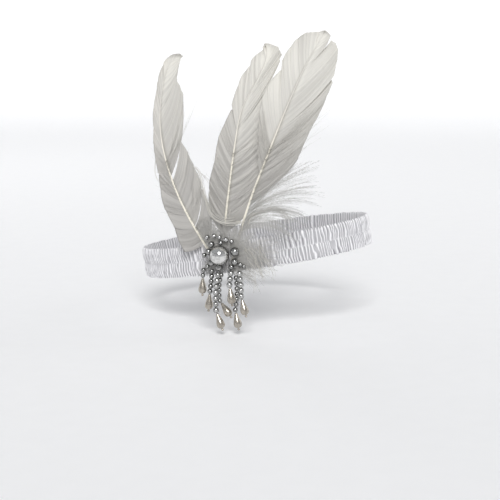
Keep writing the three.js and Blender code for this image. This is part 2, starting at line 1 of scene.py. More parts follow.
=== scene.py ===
"""A ruched satin headband with curled feathers, a puff of down, a beaded brooch and hanging bead strings.

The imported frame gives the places. Tables are in millimetres and degrees, in the brooch's own axes:
forward to the face, up, and outward from the temple. Everything that is built is in metres.
"""

import math

import bpy
import numpy as np
from mathutils import Matrix, Vector


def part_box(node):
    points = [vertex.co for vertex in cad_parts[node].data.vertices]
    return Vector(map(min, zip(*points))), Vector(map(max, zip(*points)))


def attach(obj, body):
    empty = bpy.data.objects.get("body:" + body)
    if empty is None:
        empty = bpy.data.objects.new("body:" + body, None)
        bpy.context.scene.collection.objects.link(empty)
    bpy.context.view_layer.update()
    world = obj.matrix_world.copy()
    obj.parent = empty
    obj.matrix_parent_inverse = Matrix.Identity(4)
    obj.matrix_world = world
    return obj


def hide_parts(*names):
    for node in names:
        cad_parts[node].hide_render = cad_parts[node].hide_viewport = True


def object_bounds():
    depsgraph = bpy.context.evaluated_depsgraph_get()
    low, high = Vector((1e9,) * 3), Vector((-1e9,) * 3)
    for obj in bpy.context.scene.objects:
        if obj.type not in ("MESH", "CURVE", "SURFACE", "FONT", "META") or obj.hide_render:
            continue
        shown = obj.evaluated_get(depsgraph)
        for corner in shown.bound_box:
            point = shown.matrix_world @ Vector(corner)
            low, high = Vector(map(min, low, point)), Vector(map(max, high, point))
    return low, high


bl_info = {
    "name": "Feathered flapper headband",
    "version": (1, 0, 0),
    "blender": (4, 5, 0),
    "location": "View3D > Sidebar > Headband",
    "description": "Builds the satin band, feathers, down, brooch beads, strings and drops of a headband",
    "category": "Add Mesh",
}

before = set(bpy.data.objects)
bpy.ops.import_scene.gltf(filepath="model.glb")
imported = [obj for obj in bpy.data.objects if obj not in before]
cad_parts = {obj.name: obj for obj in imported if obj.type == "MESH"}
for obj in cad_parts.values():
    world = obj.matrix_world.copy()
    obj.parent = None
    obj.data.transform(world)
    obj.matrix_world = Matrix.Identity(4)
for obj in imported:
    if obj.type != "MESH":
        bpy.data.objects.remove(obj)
CAD_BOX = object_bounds()

MM = 0.001
BODY = "root"
FULL_TURN = 2 * math.pi

# How the pieces lie over each other at the temple, in millimetres outward from the band's middle line
CLEARANCE = 0.3
BAND_PUFF = 2.0
BAND_HALF_WIDTH = 12.5
QUILL_DIAMETER = 2.2
QUILL_SEAT = BAND_PUFF + CLEARANCE + QUILL_DIAMETER / 2
OUTER_LEAN = 0.07
MIDDLE_LEAN = 0.015
DOWN_THICKNESS = 1.6
DOWN_SEAT = QUILL_SEAT + QUILL_DIAMETER / 2 + CLEARANCE + DOWN_THICKNESS / 2
DOWN_FRONT = DOWN_SEAT + DOWN_THICKNESS / 2
DOWN_PAD_LENGTH = 29
DOWN_PAD_HEIGHT = 27
TEMPLE_RADIUS = 116.7
CENTRE_BEAD_DIAMETER = 15
CENTRE_RISE = 3.9

CENTRE_BEAD_LOW, CENTRE_BEAD_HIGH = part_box("centre_bead")
CENTRE_STAND = DOWN_FRONT + OUTER_LEAN * CENTRE_RISE + CLEARANCE + CENTRE_BEAD_DIAMETER / 2
TEMPLE = (CENTRE_BEAD_LOW + CENTRE_BEAD_HIGH) / 2 + Vector((CENTRE_STAND, 0, -CENTRE_RISE)) * MM


def in_frame(points):
    """Brooch millimetres (forward, up, outward) as metres in the frame."""
    points = np.asarray(points, float)
    turned = np.stack([-points[..., 2], -points[..., 0], points[..., 1]], axis=-1)
    return turned * MM + np.array(TEMPLE)


def columns(names, rows):
    """A short table as one array for each named column."""
    return dict(zip(names, np.array(rows, float).T))


def fall_away(forward, up):
    """How far loose down past the pad follows the turn of the temple, less the higher it rises."""
    past = np.maximum(forward**2 - (DOWN_PAD_LENGTH / 2) ** 2, 0)
    above = np.clip(up / (2 * BAND_HALF_WIDTH) - 0.2, 0, 1)
    return past / (2 * TEMPLE_RADIUS) * (1 - above)


# Settings


def length(name, description, default):
    """A length in metres."""
    return bpy.props.FloatProperty(
        name=name, description=description, default=default, unit="LENGTH", precision=5
    )


def brightness(name, description, default):
    """How strong a light is."""
    return bpy.props.FloatProperty(name=name, description=description, default=default)


def colour(name, description, default):
    """A colour without alpha."""
    return bpy.props.FloatVectorProperty(
        name=name, description=description, default=default, size=3, min=0, max=1, subtype="COLOR"
    )


class BandSettings(bpy.types.PropertyGroup):
    head_length: length("Head length", "Opening of the loop, front to back", 0.192)
    head_breadth: length("Head breadth", "Opening of the loop, side to side", 0.158)
    tilt: bpy.props.FloatProperty(
        name="Tilt", description="How far the front is worn up", default=math.radians(10), unit="ROTATION"
    )
    width: length("Width", "Width of the shirred band", 0.025)
    gather_pitch: length("Gather pitch", "Distance between two gathers", 0.0027)
    fold_depth: length("Fold depth", "Depth of a crease between two gathers", 0.0018)
    crest_colour: colour("Crest colour", "Satin on the crests of the gathers", (0.97, 0.965, 0.975))
    # Painted shade: the colour painted deep in a crease between gathers, where shade falls.
    crease_shade_colour: colour("Crease colour", "Satin down in the creases", (0.22, 0.215, 0.235))


class FeatherSettings(bpy.types.PropertyGroup):
    barb_pitch: length("Barb pitch", "Distance between two barbs along the shaft", 0.00036)
    sheet_thickness: length("Sheet thickness", "Thickness of the vane at the shaft", 0.00025)
    loose_radius: length("Loose barb radius", "Radius of a barb that has come away", 0.00009)
    vane_colour: colour("Vane colour", "Upper vane", (0.79, 0.77, 0.715))
    # Painted shade: the vane's colour low down by the quill, greyer than the vane above.
    quill_shade_colour: colour("Base colour", "Vane near the quill", (0.44, 0.425, 0.405))
    shaft_colour: colour("Shaft colour", "Quill and shaft", (0.84, 0.80, 0.69))


class DownSettings(bpy.types.PropertyGroup):
    strand_radius: length("Strand radius", "Radius of the thread of one strand of down", 0.00008)
    barbule_length: length("Barbule length", "Length of the fine hairs along a strand", 0.0032)
    barbule_pitch: length("Barbule pitch", "Distance between two fine hairs", 0.0005)
    down_colour: colour("Down colour", "Loose down", (0.81, 0.80, 0.775))


class BeadSettings(bpy.types.PropertyGroup):
    bead_sides: bpy.props.IntProperty(name="Bead sides", description="Sides of a round bead", default=20)
    thread_radius: length("Thread radius", "Radius of the stringing thread", 0.0003)
    mirror_colour: colour("Mirror colour", "The large centre bead", (0.78, 0.78, 0.765))
    silver_colour: colour("Silver colour", "Bright plated beads", (0.56, 0.56, 0.55))
    dark_colour: colour("Dark silver colour", "Dark plated beads", (0.40, 0.40, 0.392))
    pearl_colour: colour("Pearl colour", "Pear-shaped drops", (0.36, 0.33, 0.285))


class StageSettings(bpy.types.PropertyGroup):
    floor_colour: colour("Floor colour", "Pale studio floor", (0.95, 0.95, 0.955))
    floor_gap: length("Floor gap", "Height of the lowest drop above the floor", 0.004)
    key_power: brightness("Key light", "Strength of the key light", 2.05)
    world_strength: brightness("Surround", "Strength of the surround", 0.42)


SETTINGS = {
    "ruched_band": BandSettings,
    "curled_feathers": FeatherSettings,
    "loose_down": DownSettings,
    "brooch_beads": BeadSettings,
    "studio": StageSettings,
}


# Meshes


def linked(name, data):
    """A new object in the scene."""
    one = bpy.data.objects.new(name, data)
    bpy.context.scene.collection.objects.link(one)
    return one


def toned(red, green, blue):
    """Three values a point, each an array or one number, as a tone."""
    return np.stack(np.broadcast_arrays(red, green, blue, 1.0), axis=-1)


def paint(mesh, tone):
    """Keeps a tone, four values a point, in a mesh."""
    attribute = mesh.attributes.new("tone", "FLOAT_COLOR", "POINT")
    attribute.data.foreach_set("color", tone.astype(np.float32).ravel())


def mesh_piece(name, points, faces, tone):
    """A piece from points, face arrays, one for each number of corners, and a tone."""
    mesh = bpy.data.meshes.new(name)
    mesh.from_pydata(points.tolist(), [], [face for block in faces for face in block.tolist()])
    paint(mesh, tone)
    mesh.shade_smooth()
    return linked(name, mesh)


def deselect_all():
    """Leaves nothing selected or active."""
    if bpy.context.object and bpy.context.object.mode != "OBJECT":
        bpy.ops.object.mode_set(mode="OBJECT")
    bpy.ops.object.select_all(action="DESELECT")
    bpy.context.view_layer.objects.active = None


def select_only(*objects):
    """Selects these objects, the first of them active."""
    deselect_all()
    for one in objects:
        one.select_set(True)
    bpy.context.view_layer.objects.active = objects[0]


def joined(objects, name):
    """Several objects as one piece."""
    select_only(*objects)
    if len(objects) > 1:
        bpy.ops.object.join()
    piece = bpy.context.object
    piece.name = name
    piece.data.name = name
    return piece


def settled(piece, nodes, slot_name, *materials):
    """Gives a finished piece its body, its nodes and, if any are given, its materials; the slot name is not
    used.
    """
    if materials:
        piece.data.materials.clear()
    for material in materials:
        piece.data.materials.append(material)
    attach(piece, BODY)
    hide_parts(*nodes)
    return piece


def unit(vectors):
    """Vectors of length 1."""
    return vectors / np.maximum(np.linalg.norm(vectors, axis=-1, keepdims=True), 1e-9)


def tangents(paths):
    """Directions along paths, an array of paths by steps by 3."""
    return unit(np.gradient(paths, axis=1))


def tubes(paths, normals, half_widths, half_thicknesses, sides):
    """Closed tubes along paths, flattened where the two halves differ: points and faces."""
    count, steps = paths.shape[:2]
    along = tangents(paths)
    across = unit(np.cross(along, normals))
    out = unit(np.cross(across, along))
    angles = np.arange(sides) * FULL_TURN / sides
    ring = (
        across[:, :, None] * (np.cos(angles)[:, None] * half_widths[:, :, None, None])
        + out[:, :, None] * (np.sin(angles)[:, None] * half_thicknesses[:, :, None, None])
    )
    points = (paths[:, :, None] + ring).reshape(-1, 3)
    index = np.arange(count * steps * sides).reshape(count, steps, sides)
    after = np.roll(index, -1, axis=2)
    quads = np.stack([index[:, :-1], index[:, 1:], after[:, 1:], after[:, :-1]], axis=-1).reshape(-1, 4)
    caps = np.concatenate([index[:, 0], index[:, -1, ::-1]])
    return points, [quads, caps]


def repeated(values, sides):
    """A value at each step of each path, as one for each point of its tube."""
    return np.repeat(values.reshape(-1, values.shape[-1]), sides, axis=0)


def slab(grid, half, turned):
    """A closed thin sheet over a grid of points, turned to face the other way or not: points and faces."""
    rows, steps = grid.shape[:2]
    lift = np.zeros_like(grid)
    lift[..., 2] = half
    points = np.concatenate([(grid + lift).reshape(-1, 3), (grid - lift).reshape(-1, 3)])
    top = np.arange(rows * steps).reshape(rows, steps)
    quads = np.stack([top[:-1, :-1], top[1:, :-1], top[1:, 1:], top[:-1, 1:]], axis=-1).reshape(-1, 4)
    border = np.concatenate([top[:-1, 0], top[-1, :-1], top[:0:-1, -1], top[0, :0:-1]])
    onward = np.roll(border, -1)
    rim = np.stack([onward, border, border + top.size, onward + top.size], axis=-1)
    faces = np.concatenate([quads, quads[:, ::-1] + top.size, rim])
    return points, faces[:, ::-1] if turned else faces


def smooth_path(points, steps):
    """A smooth curve through points, which leaves each toward its neighbours' directions."""
    points = np.array(points, float)
    ends = np.concatenate([[2 * points[0] - points[1]], points, [2 * points[-1] - points[-2]]])
    t = np.linspace(0, len(points) - 1 - 1e-9, steps)
    i, r = t.astype(int), (t % 1)[:, None]
    a, b, c, d = ends[i], ends[i + 1], ends[i + 2], ends[i + 3]
    return 0.5 * (2 * b + (c - a) * r + (2 * a - 5 * b + 4 * c - d) * r**2 + (3 * b - a - 3 * c + d) * r**3)


def wave_noise(rng, x, y, size_x, size_y, loop):
    """Smooth noise from -1 to 1 over x and y, which closes on itself after the length loop along x."""
    cells = max(int(round(loop / size_x)), 1)
    grid = rng.uniform(-1, 1, (cells, 64))
    u = x / loop * cells
    v = y / size_y + 20
    i, j = np.floor(u).astype(int), np.floor(v).astype(int)
    s, t = u - i, v - j
    s, t = s * s * (3 - 2 * s), t * t * (3 - 2 * t)
    a, b = grid[i % cells, j % 64], grid[(i + 1) % cells, j % 64]
    c, d = grid[i % cells, (j + 1) % 64], grid[(i + 1) % cells, (j + 1) % 64]
    return (a * (1 - s) + b * s) * (1 - t) + (c * (1 - s) + d * s) * t


# Materials


def shade(name):
    """A new material: its nodes, links and Principled shader."""
    material = bpy.data.materials.new(name)
    material.use_nodes = True
    nodes, links = material.node_tree.nodes, material.node_tree.links
    return material, nodes, links, nodes["Principled BSDF"]


def ramp(nodes, links, value, stops):
    """A colour ramp over a value, from pairs of place and colour."""
    node = nodes.new("ShaderNodeValToRGB")
    elements = node.color_ramp.elements
    while len(elements) < len(stops):
        elements.new(0.5)
    for element, (place, tint) in zip(elements, stops):
        element.position = place
        element.color = (*tint, 1)
    links.new(value, node.inputs["Fac"])
    return node.outputs["Color"]


def scaled(tint, factor):
    """A colour made darker or paler, each part of it at most 1."""
    return tuple(min(1.0, part * factor) for part in tint)


def between(first, last, stops):
    """A ramp's stops from pairs of place and share of the way from one colour to another."""
    first, last = np.array(first), np.array(last)
    return [(place, tuple(first + (last - first) * share)) for place, share in stops]


def set_sockets(node, values):
    """Sets a node's inputs to constant values."""
    for name, value in values.items():
        node.inputs[name].default_value = value


def maths(nodes, links, operation, first, second):
    """One sum of two values, each a socket or a number."""
    node = nodes.new("ShaderNodeMath")
    node.operation = operation
    for socket, value in zip(node.inputs, (first, second)):
        if isinstance(value, (int, float)):
            socket.default_value = value
        else:
            links.new(value, socket)
    return node.outputs[0]


def mixed(nodes, links, factor, first, second, blend="MIX"):
    """Two colours mixed by a factor."""
    node = nodes.new("ShaderNodeMix")
    node.data_type = "RGBA"
    node.blend_type = blend
    for socket, value in zip((node.inputs[0], node.inputs[6], node.inputs[7]), (factor, first, second)):
        if isinstance(value, (int, float)):
            socket.default_value = value
        elif isinstance(value, tuple):
            socket.default_value = (*value, 1)
        else:
            links.new(value, socket)
    return node.outputs[2]


def tone_channels(nodes, links):
    """The three channels of the piece's tone."""
    attribute = nodes.new("ShaderNodeAttribute")
    attribute.attribute_name = "tone"
    split = nodes.new("ShaderNodeSeparateColor")
    links.new(attribute.outputs["Color"], split.inputs["Color"])
    return split.outputs["Red"], split.outputs["Green"], split.outputs["Blue"]


def grain_group():
    """Fine uneven grain: a mask from 0 to 1, and a height for a bump."""
    group = bpy.data.node_groups.get("fine_grain")
    if group:
        return group
    group = bpy.data.node_groups.new("fine_grain", "ShaderNodeTree")
    face = group.interface
    scale = face.new_socket(name="Scale", in_out="INPUT", socket_type="NodeSocketFloat")
    scale.default_value = 400
    stretch = face.new_socket(name="Stretch", in_out="INPUT", socket_type="NodeSocketVector")
    stretch.default_value = (1, 1, 1)
    face.new_socket(name="Mask", in_out="OUTPUT", socket_type="NodeSocketFloat")
    face.new_socket(name="Height", in_out="OUTPUT", socket_type="NodeSocketFloat")
    nodes, links = group.nodes, group.links
    start = nodes.new("NodeGroupInput")
    end = nodes.new("NodeGroupOutput")
    place = nodes.new("ShaderNodeTexCoord")
    mapping = nodes.new("ShaderNodeMapping")
    links.new(place.outputs["Object"], mapping.inputs["Vector"])
    links.new(start.outputs["Stretch"], mapping.inputs["Scale"])
    coarse = nodes.new("ShaderNodeTexNoise")
    links.new(mapping.outputs["Vector"], coarse.inputs["Vector"])
    links.new(start.outputs["Scale"], coarse.inputs["Scale"])
    fine = nodes.new("ShaderNodeTexNoise")
    links.new(mapping.outputs["Vector"], fine.inputs["Vector"])
    links.new(maths(nodes, links, "MULTIPLY", start.outputs["Scale"], 4.3), fine.inputs["Scale"])
    links.new(coarse.outputs["Fac"], end.inputs["Mask"])
    links.new(maths(nodes, links, "ADD", coarse.outputs["Fac"], fine.outputs["Fac"]), end.inputs["Height"])
    return group


def grain(nodes, scale, stretch=(1, 1, 1)):
    """The fine grain placed in a material."""
    node = nodes.new("ShaderNodeGroup")
    node.node_tree = grain_group()
    set_sockets(node, {"Scale": scale, "Stretch": stretch})
    return node.outputs["Mask"], node.outputs["Height"]


def bump(nodes, links, height, distance, strength=1.0):
    """A bump's normal."""
    node = nodes.new("ShaderNodeBump")
    set_sockets(node, {"Distance": distance, "Strength": strength})
    links.new(height, node.inputs["Height"])
    return node.outputs["Normal"]


def uneven_gloss(nodes, links, shader, mask, first, last):
    """Roughness that goes from one value to another with a mask."""
    node = nodes.new("ShaderNodeMapRange")
    set_sockets(node, {"To Min": first, "To Max": last})
    links.new(mask, node.inputs["Value"])
    links.new(node.outputs["Result"], shader.inputs["Roughness"])


def satin_material(settings):
    """Satin gathered over elastic: bright crests, painted shade in cool creases, threads that run round the
    band.
    """
    material, nodes, links, shader = shade("ruched_satin")
    crest, _, _ = tone_channels(nodes, links)
    # The tone's red channel carries painted shade: 0 deep in a crease, 1 on a crest.
    stops = [(0.0, 0.0), (0.15, 0.3), (0.45, 0.5), (0.75, 1.0)]
    tint = ramp(nodes, links, crest, between(settings.crease_shade_colour, settings.crest_colour, stops))
    mask, _ = grain(nodes, 90)
    tint = mixed(nodes, links, mask, tint, (0.92, 0.915, 0.935), "MULTIPLY")
    links.new(tint, shader.inputs["Base Color"])
    weave = nodes.new("ShaderNodeTexWave")
    weave.wave_type = "BANDS"
    weave.bands_direction = "Y"
    set_sockets(weave, {"Scale": 30, "Distortion": 1.2, "Detail Scale": 3})
    uv = nodes.new("ShaderNodeUVMap")
    uv.uv_map = "cloth"
    links.new(uv.outputs["UV"], weave.inputs["Vector"])
    links.new(bump(nodes, links, weave.outputs["Fac"], 0.00004, 0.5), shader.inputs["Normal"])
    uneven_gloss(nodes, links, shader, mask, 0.24, 0.38)
    set_sockets(shader, {"Sheen Weight": 0.25, "Sheen Roughness": 0.35, "Specular IOR Level": 0.8})
    set_sockets(shader, {"Coat Weight": 0.6, "Coat Roughness": 0.16})
    return material


def vane_material(settings):
    """Feather vane: streaked along its barbs, with painted shade near the quill, by the shaft and at the
    tips.
    """
    material, nodes, links, shader = shade("goose_vane")
    share, rise, streak = tone_channels(nodes, links)
    # Painted shade: greyer low on the vane, towards the quill.
    shade_by_height = [(0.0, 0.0), (0.42, 0.12), (0.65, 0.45), (1.0, 1.0)]
    tint = ramp(nodes, links, rise, between(settings.quill_shade_colour, settings.vane_colour, shade_by_height))
    # Streaks: random tone, with painted light where the barbs stand higher and a painted highlight on the
    # gleam ridge.
    streaks = [(0.0, (0.74, 0.735, 0.73)), (0.6, (0.94, 0.94, 0.94)), (1.0, (1.07, 1.07, 1.06))]
    tint = mixed(nodes, links, 1.0, tint, ramp(nodes, links, streak, streaks), "MULTIPLY")
    plain = (1, 1, 1)
    # Painted shade: darker beside the shaft and at the barb tips.
    edges = [(0.0, (0.80, 0.79, 0.76)), (0.1, plain), (0.93, plain), (1.0, (0.88, 0.88, 0.87))]
    tint = mixed(nodes, links, 1.0, tint, ramp(nodes, links, share, edges), "MULTIPLY")
    links.new(tint, shader.inputs["Base Color"])
    mask, height = grain(nodes, 900)
    links.new(bump(nodes, links, height, 0.00003, 0.4), shader.inputs["Normal"])
    uneven_gloss(nodes, links, shader, mask, 0.45, 0.62)
    set_sockets(shader, {"Sheen Weight": 0.2, "Specular IOR Level": 0.45})
    return material


def shaft_material(settings):
    """Quill: cream horn with a soft gloss, fading to the vane's grey towards the tip."""
    material, nodes, links, shader = shade("cream_quill")
    along, _, _ = tone_channels(nodes, links)
    mask, height = grain(nodes, 260, (3, 3, 0.3))
    cream = tuple(settings.shaft_colour)
    streaked = ramp(nodes, links, mask, [(0.3, cream), (0.7, scaled(cream, 1.12))])
    fade = [(0.0, (1, 1, 1)), (0.45, (0.97, 0.97, 0.98)), (0.75, (0.84, 0.85, 0.93))]
    tint = mixed(nodes, links, 1.0, streaked, ramp(nodes, links, along, fade), "MULTIPLY")
    links.new(tint, shader.inputs["Base Color"])
    links.new(bump(nodes, links, height, 0.00005, 0.3), shader.inputs["Normal"])
    set_sockets(shader, {"Roughness": 0.36, "Coat Weight": 0.15})
    return material


def down_material(settings):
    """Loose down: thin pale strands, a little darker at their roots and tips, with a faint painted glow."""
    material, nodes, links, shader = shade("loose_down")
    share, _, uneven = tone_channels(nodes, links)
    down = tuple(settings.down_colour)
    tint = ramp(nodes, links, share, [(0.0, scaled(down, 0.88)), (0.45, down), (1.0, scaled(down, 0.8))])
    tint = mixed(nodes, links, uneven, tint, (0.82, 0.81, 0.79), "MULTIPLY")
    links.new(tint, shader.inputs["Base Color"])
    mask, _ = grain(nodes, 700)
    uneven_gloss(nodes, links, shader, mask, 0.6, 0.85)
    # A faint painted glow: the emission stands in for light that passes through the thin strands.
    set_sockets(shader, {"Sheen Weight": 0.4, "Emission Color": (*down, 1), "Emission Strength": 0.05})
    shader.inputs["Alpha"].default_value = 0.6
    return material


def plated_material(name, tint, roughness):
    """Plated beads: mirror metal, dulled where fingers and thread have rubbed, dark in the bore."""
    material, nodes, links, shader = shade(name)
    mask, height = grain(nodes, 420)
    outside, _, _ = tone_channels(nodes, links)
    plate = ramp(nodes, links, mask, [(0.35, scaled(tint, 0.72)), (0.55, tuple(tint))])
    links.new(mixed(nodes, links, outside, (0.05, 0.045, 0.04), plate), shader.inputs["Base Color"])
    uneven_gloss(nodes, links, shader, mask, roughness * 1.8, roughness * 0.6)
    links.new(bump(nodes, links, height, 0.00002, 0.25), shader.inputs["Normal"])
    set_sockets(shader, {"Metallic": 1.0, "Specular Tint": (0.22, 0.22, 0.22, 1)})
    return material


def pearl_material(settings):
    """Champagne pearl: a satin lustre under a clear coat, streaked from neck to foot."""
    material, nodes, links, shader = shade("champagne_pearl")
    mask, height = grain(nodes, 700, (1, 1, 0.12))
    tint = tuple(settings.pearl_colour)
    streaked = ramp(nodes, links, mask, [(0.35, tint), (0.65, scaled(tint, 1.4))])
    links.new(streaked, shader.inputs["Base Color"])
    links.new(bump(nodes, links, height, 0.00003, 0.3), shader.inputs["Normal"])
    set_sockets(shader, {"Metallic": 0.85, "Roughness": 0.24, "Coat Weight": 0.7, "Coat Roughness": 0.06})
    return material


def thread_material():
    """Stringing thread: twisted grey nylon."""
    material, nodes, links, shader = shade("stringing_thread")
    mask, height = grain(nodes, 1500)
    grey = ramp(nodes, links, mask, [(0.3, (0.16, 0.16, 0.16)), (0.7, (0.34, 0.33, 0.32))])
    links.new(grey, shader.inputs["Base Color"])
    links.new(bump(nodes, links, height, 0.00004, 0.6), shader.inputs["Normal"])
    shader.inputs["Roughness"].default_value = 0.5
    return material


# The band

BAND_ROUND_STEP = 0.36
BAND_OUTER_ROWS = 30
BAND_INNER_ROWS = 12
BAND_SEED = 11

# The groove and the puckered edge as shares of half the band's width, the small folds as a share of the
# main ones, and how far the inner face puffs in, in millimetres
GROOVE_WIDTH = 0.055
EDGE_PUCKER = 0.13
MINOR_FOLDS = 0.35
INNER_PUFF = 1.5


def band_lengths(half_length, half_breadth, count):
    """Angles a whole number of equal steps apart along the loop, and its length, in millimetres."""
    fine = np.linspace(0, FULL_TURN, 8001)
    middle = (fine[1:] + fine[:-1]) / 2
    speed = np.hypot(half_breadth * np.sin(middle), half_length * np.cos(middle))
    run = np.concatenate([[0], np.cumsum(speed * np.diff(fine))])
    stations = np.arange(count) * run[-1] / count
    return np.interp(stations, run, fine), stations, run[-1]


def pinched(phase):
    """Narrow ridges of gathered cloth, one at each whole number of the phase."""
    return 1 - np.abs(np.sin(math.pi * phase)) ** 0.8


def gathers(rng, s, h, front, pitch, loop):
    """Gathers at places round and across the band: main ridges, all ridges, small ones, and how firm."""
    row = np.where(h > 0, 1.0, -1.0)
    warp = (
        1.5 * wave_noise(rng, s, row * 7, 9, 1, loop)
        + 0.9 * wave_noise(rng, s, row * 5, 4.2, 1, loop)
        + 0.35 * wave_noise(rng, s, h * 1.6 + row * 9, 6, 1, loop)
    )
    lean = 0.8 + 1.1 * wave_noise(rng, s, row * 3, 14, 1, loop)
    lean = lean * (np.abs(h) - 0.5) * np.where(h > 0, 0.5, -1.6)
    from_edge = (s + warp + lean) / pitch + 0.37 * row
    other = 1.3 * wave_noise(rng, s, row * 13, 5, 1, loop)
    from_groove = (s + warp - 0.5 * lean + other) / pitch + 0.11 * row
    blend = np.clip(np.abs(h) * 2.6 - 0.8 + 0.5 * wave_noise(rng, s, row * 17, 2.6, 1, loop), 0, 1)
    blend = blend * blend * (3 - 2 * blend)
    plain = pinched(from_edge)
    crest = np.where(front, plain * blend + pinched(from_groove) * (1 - blend), plain)
    phase = from_edge * blend + from_groove * (1 - blend)
    firm = 0.75 + 0.35 * wave_noise(rng, s, h * 1.5 + row * 4, 3.6, 0.8, loop)
    minor = pinched(phase * 1.93 + 0.3 * wave_noise(rng, s, h * 2, 5, 1, loop))
    fold = np.clip(crest + MINOR_FOLDS * minor * (1 - crest), 0, 1)
    return crest, fold, minor, firm


def band_mesh(settings):
    """The satin loop: two rows of crumpled gathers over a stitched groove, plain shirring inside."""
    rng = np.random.default_rng(BAND_SEED)
    half_length, half_breadth = settings.head_length / MM / 2, settings.head_breadth / MM / 2
    loop = band_lengths(half_length, half_breadth, 8)[2]
    angle, run, loop = band_lengths(half_length, half_breadth, int(round(loop / BAND_ROUND_STEP)))
    pitch = loop / round(loop / (settings.gather_pitch / MM))

    rounded = np.cos(np.linspace(0, math.pi, BAND_OUTER_ROWS + 1))
    outer = 0.3 * rounded + 0.7 * np.linspace(1, -1, BAND_OUTER_ROWS + 1)
    inner = np.linspace(-1, 1, BAND_INNER_ROWS + 1)[1:-1]
    height = np.concatenate([outer, inner])
    s, h = np.meshgrid(run, height, indexing="ij")
    front = np.broadcast_to(np.arange(len(height)) <= BAND_OUTER_ROWS, s.shape)
    crest, fold, minor, firm = gathers(rng, s, h, front, pitch, loop)

    groove = np.exp(-((h / GROOVE_WIDTH) ** 2))
    puff = 0.14 + 0.86 * np.sin(math.pi * np.clip(np.abs(h), 0, 1)) ** 0.55
    puff = puff * (1 - 0.3 * groove) + 0.34 * groove
    puff = np.where(front, puff, np.sin(math.pi * np.clip((h + 1) / 2, 0, 1)) ** 0.6)
    loss = settings.fold_depth / MM * (1 - fold) * firm * np.where(front, 0.25 + 0.75 * puff, 0.5)
    outward = np.where(front, puff * BAND_PUFF - loss, -(puff * INNER_PUFF - loss * 0.6))
    drawn_in = EDGE_PUCKER * np.clip((np.abs(h) - 0.8) / 0.2, 0, 1) * (1 - crest) * firm
    up = h * settings.width / MM / 2 * (1 - drawn_in)

    a = np.broadcast_to(angle[:, None], s.shape)
    normal = unit(np.stack([-np.cos(a) / half_breadth, -np.sin(a) / half_length], axis=-1))
    x = -half_breadth * np.cos(a) + normal[..., 0] * outward
    y = -half_length * np.sin(a) + normal[..., 1] * outward
    c, n = math.cos(settings.tilt), math.sin(settings.tilt)
    points = np.stack([x, y * c + up * n, -y * n + up * c], axis=-1).reshape(-1, 3) * MM

    index = np.arange(s.size).reshape(s.shape)
    onward, below = np.roll(index, -1, axis=0), np.roll(index, -1, axis=1)
    quads = np.stack([index, below, np.roll(below, -1, axis=0), onward], axis=-1).reshape(-1, 4)
    # Painted shade in the tone: falling from the crests into the creases, lighter where the gathers are
    # firmer, darker along the middle where the stitched groove runs, and a little darker over the whole inner
    # face.
    lit = np.clip(fold * (0.75 + 0.4 * firm), 0, 1) * (1 - 0.5 * groove) + groove * (0.2 + 0.3 * minor)
    lit = lit * np.where(front, 1, 0.85)
    piece = mesh_piece("satin_band", points, [quads], toned(lit, 0, 0).reshape(-1, 4))
    cloth = piece.data.uv_layers.new(name="cloth")
    loops = np.zeros(len(piece.data.loops), np.int32)
    piece.data.loops.foreach_get("vertex_index", loops)
    flat = np.stack([s / 10, np.arange(len(height)) / 10 + 0 * s], axis=-1).reshape(-1, 2)
    cloth.data.foreach_set("uv", flat[loops].astype(np.float32).ravel())
    return piece


class HEADBAND_OT_satin_band(bpy.types.Operator):
    """Build the loop of ruched satin"""

    bl_idname = "headband.satin_band"
    bl_label = "Satin band"

    def execute(self, context):
        settings = context.scene.ruched_band
        band = settled(band_mesh(settings), ["band"], "ruched_satin", satin_material(settings))
        return {"FINISHED"}


# The feathers. The tables are the solids' own: a shaft's lean from upright at shares of its length; for a
# row of barbs its place on the shaft, its splay and its reach as a share of the shaft; and for a downy
# lock the same with its bend. A lobe of a vane has its side, how far it curls outward, and how far it
# slips under the next lobe up the shaft. A feather's cup is how far its vanes bow outward, its folds how
# uneven they are from barb to barb in height and in painted light, and its gleam how far a ridge beside
# its upper shaft is raised and how bright a painted highlight along it is.

SHAFT = ("at", "lean")
BARBS = ("at", "splay", "reach")
LOCKS = ("at", "splay", "bend", "reach")

BACK_FEATHER = {
    "piece": "back_feather",
    "node": "feather_back",
    "length": 174,
    "foot": (-8, -3),
    "lean": OUTER_LEAN,
    "cup": 0.209,
    "seed": 21,
    "folds": 1.3,
    "gleam": 0.15,
    "shaft": columns(
        SHAFT,
        [(0, -34), (0.12, -33), (0.25, -29), (0.4, -20), (0.55, -11), (0.66, 0), (0.8, 11), (0.9, 20),
         (1, 75)],
    ),
    "vanes": [
        (-1, -0.2, 3, [(0.1, 112, 0.104), (0.14, 98, 0.106), (0.185, 78, 0.102), (0.24, 64, 0.112),
                       (0.3, 48, 0.11), (0.352, 33, 0.113)]),
        (-1, 0.8, 0, [(0.357, 29, 0.118), (0.45, 21, 0.112), (0.56, 17, 0.097), (0.67, 15, 0.092),
                      (0.765, 15, 0.086), (0.855, 17, 0.066), (0.943, 22, 0.04), (0.985, 16, 0.026),
                      (1, 4, 0.016)]),
        (1, 0.4, 0, [(0.075, 64, 0.14), (0.11, 66, 0.172), (0.145, 62, 0.19), (0.173, 59, 0.197)]),
        (1, -0.6, 1, [(0.18, 58, 0.204), (0.225, 61, 0.21), (0.28, 60, 0.21), (0.335, 54, 0.207),
                      (0.4, 45, 0.201)]),
        (1, 0.2, 6, [(0.427, 45, 0.34), (0.51, 47, 0.308), (0.593, 42, 0.269), (0.7, 33, 0.198)]),
        (1, 0.9, 0, [(0.72, 36, 0.19), (0.79, 39, 0.16), (0.865, 41, 0.122), (0.92, 38, 0.087),
                     (0.965, 30, 0.052), (0.99, 16, 0.03), (1, 4, 0.018)]),
    ],
}

